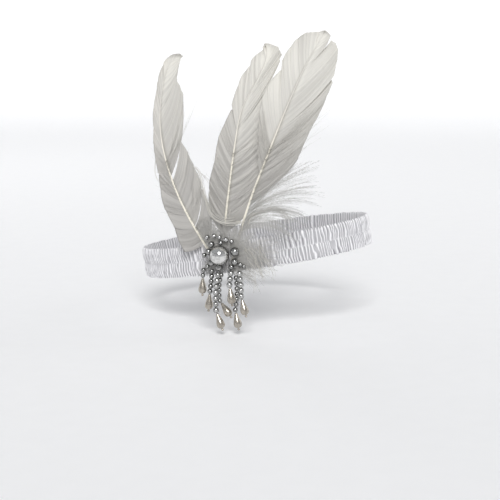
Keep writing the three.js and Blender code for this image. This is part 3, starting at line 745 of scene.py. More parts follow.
MIDDLE_FEATHER = {
    "piece": "middle_feather",
    "node": "feather_middle",
    "length": 170,
    "foot": (-2.5, -3),
    "lean": MIDDLE_LEAN,
    "cup": -0.17,
    "seed": 22,
    "folds": 2.2,
    "gleam": 0.7,
    "shaft": columns(
        SHAFT,
        [(0, 4), (0.2, 7), (0.35, 8), (0.6, 10), (0.68, 17), (0.74, 30), (0.85, 30), (0.92, 25), (0.96, 5),
         (1, -5)],
    ),
    "vanes": [
        (-1, 0.4, 4, [(0.13, 56, 0.125), (0.16, 51, 0.149), (0.22, 54, 0.146), (0.29, 56, 0.136),
                      (0.36, 51, 0.138), (0.445, 44, 0.141), (0.53, 40, 0.121), (0.59, 29, 0.106)]),
        (-1, 1.6, 0, [(0.6, 23, 0.118), (0.635, 18, 0.15), (0.685, 19, 0.163), (0.763, 31, 0.155),
                      (0.85, 36, 0.11), (0.938, 29, 0.056), (0.985, 16, 0.02), (1, 3, 0.009)]),
        (1, -0.6, 4, [(0.135, 59, 0.13), (0.195, 57, 0.165), (0.255, 59, 0.19), (0.34, 58, 0.218),
                      (0.445, 55, 0.218), (0.515, 45, 0.234), (0.583, 34, 0.256)]),
        (1, 1.2, 0, [(0.6, 32, 0.368), (0.685, 25, 0.31), (0.735, 14, 0.27), (0.79, 11, 0.225),
                     (0.873, 11, 0.15), (0.938, 16, 0.08), (0.985, 14, 0.03), (1, 3, 0.009)]),
    ],
}

FRONT_FEATHER = {
    "piece": "front_feather",
    "node": "feather_front",
    "length": 191,
    "foot": (6, -2),
    "lean": OUTER_LEAN,
    "cup": 0.229,
    "seed": 23,
    "folds": 1.2,
    "gleam": 0.25,
    "shaft": columns(SHAFT, [(0, 16), (0.2, 20), (0.4, 24), (0.6, 24), (0.8, 27), (1, 36)]),
    "vanes": [
        (-1, -0.6, 3.5, [(0.385, 40, 0.06), (0.425, 45, 0.115), (0.47, 46, 0.162), (0.515, 43, 0.189),
                         (0.557, 38, 0.201), (0.6, 29, 0.205)]),
        (-1, 0.6, 0, [(0.61, 28, 0.205), (0.655, 34, 0.191), (0.713, 36, 0.176), (0.775, 37, 0.16),
                      (0.85, 34, 0.121), (0.915, 20, 0.071), (0.965, 16, 0.033), (0.985, 12, 0.014),
                      (1, 3, 0.003)]),
        (1, -1.0, 6, [(0.26, 40, 0.265), (0.323, 36, 0.293), (0.39, 34, 0.311), (0.47, 34, 0.324),
                      (0.557, 35, 0.314)]),
        (1, 0.1, 4, [(0.568, 33, 0.327), (0.63, 30, 0.319), (0.7, 30, 0.279), (0.77, 27, 0.222),
                     (0.823, 25, 0.166)]),
        (1, 0.7, 0, [(0.83, 25, 0.14), (0.878, 27, 0.11), (0.925, 29, 0.078), (0.965, 25, 0.04),
                     (0.985, 16, 0.018), (1, 3, 0.003)]),
    ],
}

FRONT_LOCKS = columns(
    LOCKS,
    [(0.25, 26, 12, 0.345), (0.23, 26, 28, 0.35), (0.205, 28, 42, 0.355), (0.185, 30, 56, 0.33),
     (0.165, 32, 68, 0.3), (0.145, 34, 82, 0.27), (0.125, 38, 92, 0.225)],
)

BARB_STRAIGHTENING = 0.5
SHEET_STEPS = 14
SHINGLE_RUN = 13.0
SHINGLE_OVERLAP = 0.5
FOLD_HEIGHT = 0.5
LOOSE_BARBS = 70
SHAFT_STEPS = 60
SHAFT_SIDES = 10
SHAFT_PLACES = (0, 0.12, 0.5, 0.75, 1)
SHAFT_RADII = (QUILL_DIAMETER / 2, 1.0, 0.7, 0.42, 0.22)

# In millimetres: the length of a vane's slow wave along the shaft, how far the gleam ridge lies from the
# shaft and how wide it is, and the height at which the painted shade low on a vane has faded to its full
# colour
SLOW_WAVE = 31
RIDGE_PLACE = 4.5
RIDGE_WIDTH = 3.2
SHADE_FADE_RISE = 150


def shaft_line(spec):
    """The shaft's middle line in forward and up, and its heading, at even shares of its length."""
    at = np.linspace(0, 1, 401)
    heading = np.radians(np.interp(at, spec["shaft"]["at"], spec["shaft"]["lean"]))
    middle = (heading[1:] + heading[:-1]) / 2
    step = spec["length"] / (len(at) - 1)
    forward = spec["foot"][0] + np.concatenate([[0], np.cumsum(np.sin(middle) * step)])
    up = spec["foot"][1] + np.concatenate([[0], np.cumsum(np.cos(middle) * step)])
    return {"at": at, "forward": forward, "up": up, "heading": heading}


def shaft_at(line, at):
    """Forward, up and heading at places on a shaft."""
    return tuple(np.interp(at, line["at"], line[key]) for key in ("forward", "up", "heading"))


def arcs(forward, up, first, last, reach, steps):
    """Arcs that turn evenly from one heading to another: paths in forward and up, and the way travelled."""
    fine = 4
    share = (np.arange(steps * fine) + 0.5) / (steps * fine)
    heading = first[:, None] + (last - first)[:, None] * share
    move = (reach / (steps * fine))[:, None]
    zero = np.zeros((len(forward), 1))
    f, u = (
        np.concatenate([zero, np.cumsum(part * move, axis=1)], axis=1)[:, ::fine] + start[:, None]
        for part, start in ((np.sin(heading), forward), (np.cos(heading), up))
    )
    return f, u, reach[:, None] * np.linspace(0, 1, steps + 1)


def stand(lean, up):
    """How far out a feather stands at a height."""
    return QUILL_SEAT + lean * np.maximum(up, 0)


def shingle_edges(rng, begin, end):
    """Where a lobe parts into shingles of barbs that hold together, along the shaft."""
    count = max(1, round((end - begin) / SHINGLE_RUN))
    edges = np.linspace(begin, end, count + 1)
    edges[1:-1] += rng.uniform(-0.3, 0.3, count - 1) * (end - begin) / count
    return edges


def drift(rng, count, run):
    """Uneven values about 0 that drift from barb to barb over a run of barbs."""
    window = np.hanning(run + 2)[1:-1]
    return np.convolve(rng.normal(0, 1, count + run - 1), window / np.linalg.norm(window), "valid")


def shingle(spec, line, vane, settings, rng, begin, end):
    """One shingle of a lobe: a grid of points, barbs by steps, half its thickness and its tone."""
    side, curl, tuck, rows = vane
    row = columns(BARBS, rows)
    length = spec["length"]
    first, last = row["at"][0] * length, row["at"][-1] * length
    count = max(int((end - begin) / (settings.barb_pitch / MM)), 6)
    along = np.linspace(begin, end, count)
    at = along / length
    forward, up, heading = shaft_at(line, at)
    bow = np.linspace(-1, 1, count)[:, None]
    turn = side * np.radians(np.interp(at, row["at"], row["splay"]) + rng.normal(0, 0.3))
    reach = np.interp(at, row["at"], row["reach"]) * length - 0.9 * np.clip(along - last, 0, None)
    reach = reach * (1 - 0.008 * bow[:, 0] ** 6 + rng.normal(0, 0.003, count))
    after = heading + turn * BARB_STRAIGHTENING
    f, u, travelled = arcs(forward, up, heading + turn, after, reach, SHEET_STEPS)
    share = travelled / reach[:, None]
    from_split = (along - first)[:, None]
    to_split = (last + tuck - along)[:, None]
    broad, narrow = spec["folds"] * drift(rng, count, 9)[:, None], drift(rng, count, 3)[:, None]
    ridge = np.exp(-(((travelled - RIDGE_PLACE) / RIDGE_WIDTH) ** 2)) * np.clip((at[:, None] - 0.5) * 6, 0, 1)
    gleam = spec["gleam"] * ridge * (side > 0)

    # The vane's cup and the lobe's curl, the shingle's own bow and tilt, a slow wave, the lift at a split
    # and the barbs' unevenness, the edge that slips under the next lobe, the rim, and the raised gleam ridge
    out = stand(spec["lean"], u) + spec["cup"] * travelled**2 / length + curl * share**2
    out = out + FOLD_HEIGHT * (1 - bow**2) * share**0.6 + rng.normal(0, 0.45) * bow * share
    out = out + 0.7 * share * np.sin(FULL_TURN * along[:, None] / SLOW_WAVE + spec["seed"] + 2.2 * share)
    out = out + 0.8 * np.exp(-from_split / 1.3) * share + (0.075 * broad + 0.035 * narrow) * share**0.5
    out = out + (-0.9 * np.exp(-to_split / (tuck + 1)) if tuck else 0.7 * np.exp(-to_split / 1.3)) * share
    out = out + 0.9 * share**9 + 0.9 * gleam
    half = settings.sheet_thickness / MM / 2 * np.interp(share, [0, 1], [1.2, 0.5])
    # The streak tone: random for each shingle, with painted light where the barbs' unevenness raises them and
    # a painted highlight along the gleam ridge. The second channel, the height, sets the painted shade low on
    # the vane.
    streak = np.clip(0.6 + rng.normal(0, 0.13) + 0.1 * broad + 0.08 * narrow + gleam, 0, 1)
    return np.stack([f, u, out], axis=-1), half, toned(share, np.clip(u / SHADE_FADE_RISE, 0, 1), streak)


def loose_barbs(spec, line, rng):
    """Single barbs that have come away low on the feather: paths and tones."""
    vanes = [vane for vane in spec["vanes"] if vane[3][0][0] < 0.45]
    count = LOOSE_BARBS // len(vanes)
    paths, tones = [], []
    for side, _, _, rows in vanes:
        row = columns(BARBS, rows)
        at = rng.uniform(row["at"][0], min(row["at"][-1], 0.5), count)
        forward, up, heading = shaft_at(line, at)
        turn = side * np.radians(np.interp(at, row["at"], row["splay"]) + rng.normal(0, 6, count))
        reach = np.interp(at, row["at"], row["reach"]) * spec["length"] * rng.uniform(0.75, 1.12, count)
        after = heading + turn * rng.uniform(0.1, 1.0, count)
        f, u, travelled = arcs(forward, up, heading + turn, after, reach, SHEET_STEPS)
        share = travelled / reach[:, None]
        out = stand(spec["lean"], u) + spec["cup"] * travelled**2 / spec["length"]
        out = out + 0.7 + rng.uniform(0, 1.2) * share
        paths.append(np.stack([f, u, out], axis=-1))
        tones.append(toned(share, np.clip(u / SHADE_FADE_RISE, 0, 1), 1))
    return np.concatenate(paths), np.concatenate(tones)


def feather_vanes(spec, line, settings):
    """A feather's two vanes in split lobes of interlocked barbs, and its loose barbs."""
    rng = np.random.default_rng(spec["seed"])
    points, faces, tones, start = [], [], [], 0
    for vane in spec["vanes"]:
        tuck, row = vane[2:]
        edges = shingle_edges(rng, row[0][0] * spec["length"], row[-1][0] * spec["length"] + tuck)
        for number, (begin, end) in enumerate(zip(edges[:-1], edges[1:])):
            begin = begin - SHINGLE_OVERLAP if number else begin
            grid, half, tone = shingle(spec, line, vane, settings, rng, begin, end)
            block, quads = slab(grid, half, vane[0] > 0)
            points.append(block)
            faces.append(quads + start)
            tones.append(np.tile(tone.reshape(-1, 4), (2, 1)))
            start += len(block)
    paths, tone = loose_barbs(spec, line, rng)
    radius = np.full(paths.shape[:2], settings.loose_radius / MM) * np.linspace(1.2, 0.6, paths.shape[1])
    block, (quads, caps) = tubes(paths, np.zeros_like(paths) + (0.1, 0.1, 1.0), radius, radius, 3)
    points = in_frame(np.concatenate([*points, block]))
    tone = np.concatenate([*tones, repeated(tone, 3)])
    return mesh_piece(spec["piece"], points, [np.concatenate([*faces, quads + start]), caps + start], tone)


def feather_shaft(spec, line):
    """A feather's shaft, thinner towards its tip."""
    at = np.linspace(0, 1, SHAFT_STEPS)
    forward, up, _ = shaft_at(line, at)
    path = np.stack([forward, up, stand(spec["lean"], up)], axis=-1)[None]
    radius = np.interp(at, SHAFT_PLACES, SHAFT_RADII)[None]
    points, faces = tubes(path, np.zeros_like(path) + (0, 0, 1.0), radius, radius * 0.9, SHAFT_SIDES)
    tone = repeated(toned(at, at, at)[None], SHAFT_SIDES)
    return mesh_piece(spec["piece"] + "_shaft", in_frame(points), faces, tone)


def feather_piece(spec, settings, vane_look, shaft_look):
    """A feather: its vanes and the shaft between them as one piece."""
    line = shaft_line(spec)
    vanes, shaft = feather_vanes(spec, line, settings), feather_shaft(spec, line)
    vanes.data.materials.append(vane_look)
    shaft.data.materials.append(shaft_look)
    return settled(joined([vanes, shaft], spec["piece"]), [spec["node"]], "goose_feather")


class HEADBAND_OT_feathers(bpy.types.Operator):
    """Build the three curled feathers barb by barb"""

    bl_idname = "headband.feathers"
    bl_label = "Feathers"

    def execute(self, context):
        settings = context.scene.curled_feathers
        looks = vane_material(settings), shaft_material(settings)
        for spec in (BACK_FEATHER, MIDDLE_FEATHER, FRONT_FEATHER):
            feather_piece(spec, settings, *looks)
        return {"FINISHED"}


# The down: strands with fine hairs on both sides

# A tongue of the puff: where it is rooted, its heading and bend, its length and width, and its strands
TONGUES = ("from", "rise", "heading", "bend", "length", "width", "strands")
DOWN_TONGUES = columns(
    TONGUES,
    [(-6, 6, -22, -6, 27, 11, 80), (0, 8, -6, -4, 26, 11, 72), (5, 8, 12, 4, 26, 11, 56),
     (9, 8, 34, 10, 24, 10, 48), (8, 6, 74, 12, 40, 9, 28), (8, 2, 92, 6, 37, 9, 30),
     (8, -1, 108, 2, 30, 9, 30), (7, -4, 126, -6, 25, 8, 26), (-7, -2, -128, -8, 20, 6, 14)],
)
STRAND_STEPS = 14
PRESSED_RADIUS = 17
PAD_STRANDS = 200
LOCK_STRANDS = 140
DOWN_SEED = 31
HAIR_RADIUS = 0.055
SPIKE_FACES = ((0, 1, 3), (1, 2, 3), (2, 0, 3), (2, 1, 0))


def strand_paths(rng, forward, up, heading, bend, reach, stand_out):
    """Wavy strands of down from their roots: an array of paths."""
    f, u, travelled = arcs(forward, up, heading, heading + bend, reach, STRAND_STEPS)
    share = travelled / reach[:, None]
    each = (len(forward), 1)
    wave = rng.uniform(0, FULL_TURN, each)
    sway = rng.normal(0, 0.9, each) * share * np.sin(wave + share * rng.uniform(2, 7, each))
    f = f + sway * np.cos(heading)[:, None]
    u = u - sway * np.sin(heading)[:, None]
    out = stand_out(f, u) + rng.normal(0, 0.5, each) * (0.3 + share) + 0.4 * share * np.sin(wave * 2)
    return np.stack([f, u, out], axis=-1)


def hairs(rng, paths, settings, fluff):
    """Fine hairs along strands: slim closed spikes, four points each."""
    pitch = settings.barbule_pitch / MM
    run = np.linalg.norm(np.diff(paths, axis=1), axis=2).sum(axis=1)
    number = np.maximum((run / pitch).astype(int), 4)
    owner = np.repeat(np.arange(len(paths)), number)
    share = rng.uniform(0.04, 0.99, len(owner))
    place = share * (paths.shape[1] - 1)
    low = np.minimum(place.astype(int), paths.shape[1] - 2)
    blend = (place - low)[:, None]
    root = paths[owner, low] * (1 - blend) + paths[owner, low + 1] * blend
    along = tangents(paths)[owner, low]
    out = np.array([0.0, 0.0, 1.0])
    across = unit(np.cross(along, out))
    side = rng.choice([-1.0, 1.0], len(owner))[:, None]
    angle = np.radians(rng.normal(42, 10, len(owner)))[:, None]
    lift = rng.normal(0, 0.28, len(owner))[:, None]
    way = unit(along * np.cos(angle) + across * side * np.sin(angle) + out * lift)
    reach = settings.barbule_length / MM * fluff * rng.uniform(0.5, 1.1, len(owner))
    reach = reach * np.interp(share, [0, 0.15, 0.7, 1], [0.5, 1.0, 0.85, 0.35])
    first = unit(np.cross(way, out + 0.01))[:, None]
    second = np.cross(way, first[:, 0])[:, None]
    turns = (np.arange(3) * FULL_TURN / 3)[:, None]
    base = root[:, None] + HAIR_RADIUS * (first * np.cos(turns) + second * np.sin(turns))
    tip = root + way * reach[:, None]
    points = np.concatenate([base, tip[:, None]], axis=1).reshape(-1, 3)
    index = np.arange(len(owner))[:, None] * 4
    faces = np.concatenate([index + np.array(corners) for corners in SPIKE_FACES])
    return points, faces, np.repeat(toned(share, 1, rng.uniform(0, 1, len(owner))), 4, axis=0)


def pressed(points):
    """Down that the brooch presses flat, so that none of it stands up between the beads."""
    forward, up, out = points.T
    near = forward**2 + (up - CENTRE_RISE) ** 2 < PRESSED_RADIUS**2
    flat = np.minimum(out, down_stand(forward, up) + DOWN_THICKNESS / 2)
    return np.stack([forward, up, np.where(near, flat, out)], axis=-1)


def down_piece(name, paths, settings, rng, fluff=1.0, girth=1.0, paleness=0.0):
    """Strands and their hairs as one mesh."""
    share = np.linspace(0, 1, paths.shape[1])
    radius = settings.strand_radius / MM * girth * np.interp(share, [0, 1], [1.3, 0.6])
    half = np.broadcast_to(radius, paths.shape[:2])
    points, (quads, caps) = tubes(paths, np.zeros_like(paths) + (0, 0, 1.0), half, half, 3)
    tone = toned(share, paleness, rng.uniform(0, 1, (len(paths), 1)))
    hair_points, hair_faces, hair_tone = hairs(rng, paths, settings, fluff)
    return mesh_piece(
        name,
        in_frame(pressed(np.concatenate([points, hair_points]))),
        [quads, np.concatenate([caps, hair_faces + len(points)])],
        np.concatenate([repeated(tone, 3), hair_tone]),
    )


def down_stand(forward, up):
    """The middle of the down's thickness over the quills."""
    return DOWN_SEAT + OUTER_LEAN * np.maximum(up, 0) - fall_away(forward, up)


def tuft_paths(rng):
    """Strands of the puff: along each tongue, and short ones all round the pad."""
    row = {key: np.repeat(value, DOWN_TONGUES["strands"].astype(int)) for key, value in DOWN_TONGUES.items()}
    count = len(row["from"])
    heading = np.radians(row["heading"])
    aside = rng.uniform(-0.5, 0.5, count) * row["width"]
    tongues = strand_paths(
        rng,
        row["from"] + aside * np.cos(heading) * 0.9,
        row["rise"] - aside * np.sin(heading) * 0.9,
        heading + np.radians(rng.normal(0, 7, count)),
        np.radians(row["bend"] + rng.normal(0, 14, count)),
        row["length"] * rng.uniform(0.65, 1.05, count),
        down_stand,
    )
    turn = rng.uniform(0, FULL_TURN, PAD_STRANDS)
    ring = np.sqrt(rng.uniform(0.02, 0.8, PAD_STRANDS))
    pad = strand_paths(
        rng,
        1 + np.sin(turn) * ring * DOWN_PAD_LENGTH / 2,
        4 + np.cos(turn) * ring * DOWN_PAD_HEIGHT / 2,
        turn + rng.normal(0, 0.5, PAD_STRANDS),
        rng.normal(0, 0.5, PAD_STRANDS),
        rng.uniform(6, 15, PAD_STRANDS),
        down_stand,
    )
    return np.concatenate([tongues, pad])


def lock_paths(rng, line):
    """The long downy strands low on the front feather, fanned from steep to arched over."""
    which = np.sort(rng.uniform(0, len(FRONT_LOCKS["at"]) - 1, LOCK_STRANDS))
    rows = np.arange(len(FRONT_LOCKS["at"]))
    at, splay, bend, reach = (np.interp(which, rows, FRONT_LOCKS[key]) for key in LOCKS)
    forward, up, heading = shaft_at(line, at + rng.normal(0, 0.004, LOCK_STRANDS))
    return strand_paths(
        rng,
        forward,
        up,
        heading + np.radians(splay + rng.normal(0, 3, LOCK_STRANDS)),
        np.radians(bend + rng.normal(0, 8, LOCK_STRANDS)),
        reach * FRONT_FEATHER["length"] * rng.uniform(0.72, 1.06, LOCK_STRANDS),
        lambda f, u: stand(OUTER_LEAN, u) - fall_away(f, u),
    )


# Strands that stray: how many, how far they scatter, and their route in forward, up and outward
STRAYS = [
    (7, 0.6, [(16.3, 30.3, 9), (4.7, 28.5, 10), (-6.1, 31.8, 10), (-11.4, 39.7, 10), (-18, 65.7, 11),
              (-22.7, 70.9, 11)]),
    (4, 0.7, [(10.6, 31.5, 10), (2.3, 31.1, 10), (-6.8, 36.1, 10), (-14, 50.4, 11), (-17.8, 63.4, 11)]),
    (2, 0.4, [(-17.8, 66.5, 9), (-13.6, 63.5, 10), (-10.8, 59.8, 10), (-8.8, 56, 9)]),
    (2, 0.5, [(-54.3, 82.2, 9), (-57.2, 68.7, 8), (-56.8, 61.1, 8), (-52.1, 56.8, 8), (-44.2, 56.1, 8)]),
    (2, 0.5, [(-54, 72.9, 8), (-53.9, 67.5, 8), (-51.9, 62.3, 8), (-46.1, 56, 8)]),
    (3, 0.4, [(4.3, 31.7, 4), (5.7, 44.1, 4), (8.9, 72.6, 4), (12.1, 91.6, 4), (12, 105.1, 4)]),
    (14, 1.6, [(17.1, 26.5, 5), (21.3, 33.6, 6), (27.9, 37.8, 6), (37.7, 42, 5), (45.7, 39.4, 4),
               (52, 32.1, 3)]),
    (6, 1.2, [(24, 40, 5), (40, 62, 5), (56, 84, 5), (63.6, 99, 5), (75.4, 118.1, 6)]),
    (12, 2.0, [(20, 9, 5.5), (24.5, 3, 5.2), (28.5, -5, 4.6), (32.5, -12.5, 4)]),
    (9, 2.2, [(28, 12, 5), (33, 5, 4.6), (37, -3, 4), (40, -9, 3.4)]),
    (5, 1.0, [(19, -5, 4.6), (23, -12, 4.2), (25.2, -18, 4), (26, -24, 3.6)]),
]


def stray_paths(rng):
    """Each stray strand's path, loosely side by side with its neighbours."""
    paths = []
    for count, scatter, route in STRAYS:
        for _ in range(count):
            aside = rng.normal(0, scatter, (len(route), 3)) * (0.6, 0.6, 0.3)
            aside = aside + rng.normal(0, scatter, 3) * (1, 1, 0.3)
            paths.append(smooth_path(np.array(route) + aside, 2 * STRAND_STEPS + 1))
    return np.array(paths)


class HEADBAND_OT_down(bpy.types.Operator):
    """Build the puff of down, the front feather's downy strands and the strands that stray"""

    bl_idname = "headband.down"
    bl_label = "Down"

    def execute(self, context):
        settings = context.scene.loose_down
        rng = np.random.default_rng(DOWN_SEED)
        material = down_material(settings)
        tuft = down_piece("down_puff", tuft_paths(rng), settings, rng)
        settled(tuft, ["down_tuft"], "loose_down", material)
        paths = lock_paths(rng, shaft_line(FRONT_FEATHER))
        locks = down_piece("front_feather_down", paths, settings, rng, fluff=0.8)
        settled(locks, ["feather_front"], "loose_down", material)
        paths = stray_paths(rng)
        # At 0.9 their height channel leaves these strands little of the vane's painted shade.
        strays = down_piece("stray_barbs", paths, settings, rng, fluff=0.12, girth=2.0, paleness=0.9)
        settled(strays, ["feather_front"], "goose_feather", bpy.data.materials["goose_vane"])
        return {"FINISHED"}


# Beads. A brooch bead lies in a direction from the centre bead, in degrees from upright towards the face,
# past its rim by a gap in shares of the ring bead's diameter, and girth is a share of its own kind's.

RING_BEAD_DIAMETER = 5
CROWN_BEAD_DIAMETER = 3.7
STRING_BEAD_DIAMETER = 4.3
BEAD_PITCH = 4.55
STRING_LENGTH = 31
THREAD_RADIUS = 0.4
DROP_LENGTH = 12.2
DROP_DIAMETER = 6.6
SEED_DIAMETER = 2.0

RING_BEADS = [
    (-49, 0.25, 1), (-6, -0.09, 0.8), (75, 0.14, 1.4), (115, 0.3, 1.08), (115, 1.42, 0.76), (115, 2.12, 0.6),
    (141, 0.48, 0.9), (-167, 0, 1.2), (-129, 0.18, 1.08), (-96, 1.18, 0.76), (-82, 0.26, 1),
]
CROWN_BEADS = [(-44, 1.64, 1.03), (-24, 1.24, 0.97), (-8, 0.82, 0.97), (17, 0.51, 1.19), (37.5, 0.86, 0.92)]

# A string: the ring bead that carries it, the side of that bead it is tied on, how far it hangs out from
# its tie as a share of its bead's diameter, its beads' girth, its drop's direction, and its route from the
# tie in forward and up, as shares of the longest string.
STRINGS = [
    (8, (-0.84, -0.54, -0.09), -0.12, 0.88, -2, ((-0.039, -0.048), (-0.145, -0.152), (-0.161, -0.281))),
    (8, (0.03, -1, -0.03), -0.02, 0.95, -5, ((0, -0.106), (-0.019, -0.355), (-0.055, -0.613))),
    (7, (0, -0.91, 0.42), 0.16, 1.05, 20, ((0, -0.068), (-0.058, -0.49), (-0.052, -0.961))),
    (7, (0.12, -0.94, -0.33), -0.3, 0.88, 38, ((0.01, -0.087), (-0.048, -0.442), (-0.029, -0.742))),
    (6, (0.16, -0.85, 0.51), 0.33, 1.07, 8, ((0.01, -0.055), (-0.01, -0.203), (-0.026, -0.348))),
    (6, (0.38, -0.86, -0.33), -0.3, 0.91, 10, ((0.058, -0.192), (0.084, -0.571), (0.039, -0.997))),
    (4, (0.04, -0.92, 0.39), 0.44, 1.07, 15, ((0.016, -0.135), (0.045, -0.416), (0.055, -0.694))),
]


def seated(up, diameter):
    """How far out the middle of a bead stands that rests on the down."""
    return DOWN_FRONT + OUTER_LEAN * max(up, 0) + CLEARANCE + diameter / 2


def brooch_bead(row, kind_diameter):
    """Middle and radius of one bead of the brooch, in brooch millimetres."""
    direction, gap, girth = row
    diameter = girth * kind_diameter
    away = (CENTRE_BEAD_DIAMETER + diameter) / 2 + gap * RING_BEAD_DIAMETER
    angle = math.radians(direction)
    up = CENTRE_RISE + math.cos(angle) * away
    return Vector((math.sin(angle) * away, up, seated(up, diameter))), diameter / 2


def spaced_on_curve(points, count):
    """Points evenly spaced along a smooth curve through three points."""
    a, b, c = (np.array(p) for p in points)
    chord = np.array([0, np.linalg.norm(b - a), np.linalg.norm(b - a) + np.linalg.norm(c - b)])
    t = np.linspace(0, chord[2], 200)
    curve = np.stack([np.polyval(np.polyfit(chord, [a[i], b[i], c[i]], 2), t) for i in range(3)], axis=-1)
    run = np.concatenate([[0], np.cumsum(np.linalg.norm(np.diff(curve, axis=0), axis=1))])
    wanted = np.linspace(0, run[-1], count + 1)
    return [Vector(np.array([np.interp(w, run, curve[:, i]) for i in range(3)])) for w in wanted], run[-1]


def string_beads(row, ring):
    """The tie, the beads' middles and radius, and the foot of one string, in brooch millimetres."""
    carrier, tie, out, girth, _, route = row
    radius = girth * STRING_BEAD_DIAMETER / 2
    middle, carrier_radius = ring[carrier]
    start = middle + Vector(tie).normalized() * (carrier_radius + CLEARANCE + THREAD_RADIUS)
    away = out * STRING_BEAD_DIAMETER
    points = [start + Vector((forward * STRING_LENGTH, up * STRING_LENGTH, away)) for forward, up in route]
    _, run = spaced_on_curve(points, 2)
    beads, _ = spaced_on_curve(points, max(1, round(run / (BEAD_PITCH * girth))))
    return start, beads, radius


def bead_master(sides):
    """A drilled round bead of radius 1: a sphere whose two poles are bored through and bridged."""
    deselect_all()
    bpy.ops.mesh.primitive_uv_sphere_add(segments=sides, ring_count=14, radius=1, location=(0, 0, 0))
    bead = bpy.context.object
    bead.name = "bead_master"
    bpy.ops.object.mode_set(mode="EDIT")
    bpy.ops.mesh.select_all(action="DESELECT")
    bpy.ops.object.mode_set(mode="OBJECT")
    for vertex in bead.data.vertices:
        vertex.select = abs(vertex.co.z) > 0.99
    bpy.ops.object.mode_set(mode="EDIT")
    bpy.ops.mesh.select_mode(type="VERT")
    bpy.ops.mesh.delete(type="VERT")
    bpy.ops.mesh.select_non_manifold()
    bpy.ops.mesh.extrude_region_move()
    bpy.ops.transform.resize(value=(0.72, 0.72, 0.93))
    bpy.ops.mesh.bridge_edge_loops()
    bpy.ops.mesh.select_all(action="SELECT")
    bpy.ops.mesh.normals_make_consistent(inside=False)
    bpy.ops.object.mode_set(mode="OBJECT")
    bead.data.shade_smooth()
    return bead


def bead_copy(master, middle, radius, heading):
    """A copy of the master bead at its size and place, its bore along the string."""
    bead = linked("bead", master.data.copy())
    lip = np.array([math.hypot(v.co.x, v.co.y) for v in bead.data.vertices])
    paint(bead.data, toned(np.clip((lip - 0.12) / 0.16, 0, 1), 1, 1))
    there = Vector(in_frame(middle))
    ahead = Vector(in_frame(middle + heading)) - there
    turn = Vector((0, 0, 1)).rotation_difference(ahead).to_matrix().to_4x4()
    bead.data.transform(Matrix.Translation(there) @ turn @ Matrix.Scale(radius * MM, 4))
    return bead


def thread_along(points, radius, name):
    """A round thread through points in brooch millimetres."""
    path = np.array([list(p) for p in points], float)[None]
    half = np.full(path.shape[:2], radius)
    tube, faces = tubes(path, np.zeros_like(path) + (0.03, 0.05, 1.0), half, half, 8)
    return mesh_piece(name, in_frame(tube), faces, np.ones((len(tube), 4)))


def headings(middles, closed):
    """The way the string runs through each bead."""
    last = len(middles) - 1
    before = [middles[i - 1] if closed or i > 0 else middles[i] for i in range(last + 1)]
    after = [middles[(i + 1) % (last + 1)] if closed or i < last else middles[i] for i in range(last + 1)]
    return [(there - here).normalized() for here, there in zip(before, after)]


def bead_string(name, master, beads, closed, plate, thread, ends=()):
    """Beads on one thread as one piece: the plating first, then the thread."""
    middles = [middle for middle, _ in beads]
    line = [*middles, middles[0]] if closed else [*ends[:1], *middles, *ends[1:]]
    parts = []
    for (middle, radius), heading in zip(beads, headings(middles, closed)):
        parts.append(bead_copy(master, middle, radius, heading))
        parts[-1].data.materials.append(plate)
    cord = thread_along(line, bpy.context.scene.brooch_beads.thread_radius / MM, name + "_thread")
    cord.data.materials.append(thread)
    return joined([*parts, cord], name)


def brooch_parts(settings):
    """The master bead, and the materials that brooch and strings share."""
    known = bpy.data.materials.get
    silver = known("bright_plate") or plated_material("bright_plate", settings.silver_colour, 0.07)
    dark = known("dull_plate") or plated_material("dull_plate", settings.dark_colour, 0.1)
    return bead_master(settings.bead_sides), silver, dark, known("stringing_thread") or thread_material()


class HEADBAND_OT_brooch(bpy.types.Operator):
    """Build the centre bead, the ring round it and the crown above it"""

    bl_idname = "headband.brooch"
    bl_label = "Brooch"

    def execute(self, context):
        settings = context.scene.brooch_beads
        master, silver, dark, thread = brooch_parts(settings)
        ring = [brooch_bead(row, RING_BEAD_DIAMETER) for row in RING_BEADS]
        crown = [brooch_bead(row, CROWN_BEAD_DIAMETER) for row in CROWN_BEADS]
        settled(bead_string("ring_beads", master, ring, True, dark, thread), ["bead_ring"], "dark_silver")
        piece = bead_string("crown_beads", master, crown, False, silver, thread)
        settled(piece, ["bead_crown"], "mirror_silver")
        bpy.data.objects.remove(master)
        mirror = plated_material("mirror_plate", settings.mirror_colour, 0.05)
        settled(centre_bead_piece(), ["centre_bead"], "mirror_silver", mirror)
        return {"FINISHED"}


def centre_bead_piece():
    """The large round bead, its poles turned into the down and outward."""
    deselect_all()
    radius = CENTRE_BEAD_DIAMETER / 2 * MM
    bpy.ops.mesh.primitive_uv_sphere_add(segments=48, ring_count=28, radius=radius, location=(0, 0, 0))
    bead = bpy.context.object
    bead.name = "round_bead"
    bead.data.name = "round_bead"
    paint(bead.data, np.ones((len(bead.data.vertices), 4)))
    middle = (CENTRE_BEAD_LOW + CENTRE_BEAD_HIGH) / 2
    bead.data.transform(Matrix.Translation(middle) @ Matrix.Rotation(math.radians(90), 4, "Y"))
    bead.data.shade_smooth()
    return bead


class HEADBAND_OT_strings(bpy.types.Operator):
    """Build the seven hanging strings of beads"""

    bl_idname = "headband.strings"
    bl_label = "Bead strings"

    def execute(self, context):
        settings = context.scene.brooch_beads
        master, silver, dark, thread = brooch_parts(settings)
        ring = [brooch_bead(row, RING_BEAD_DIAMETER) for row in RING_BEADS]
        for number, row in enumerate(STRINGS, 1):
            start, middles, radius = string_beads(row, ring)
            foot = middles[-1] + (middles[-1] - middles[-2]).normalized() * radius
            beads = [(middle, radius) for middle in middles]
            plate, slot_name = (silver, "mirror_silver") if row[2] > 0 else (dark, "dark_silver")
            piece = bead_string(f"bead_string_{number}", master, beads, False, plate, thread, (start, foot))
            settled(piece, [f"strand_{number}"], slot_name)
        bpy.data.objects.remove(master)
        return {"FINISHED"}


# The drops: half profiles from neck to foot, along as a share of the length and girth of the radius

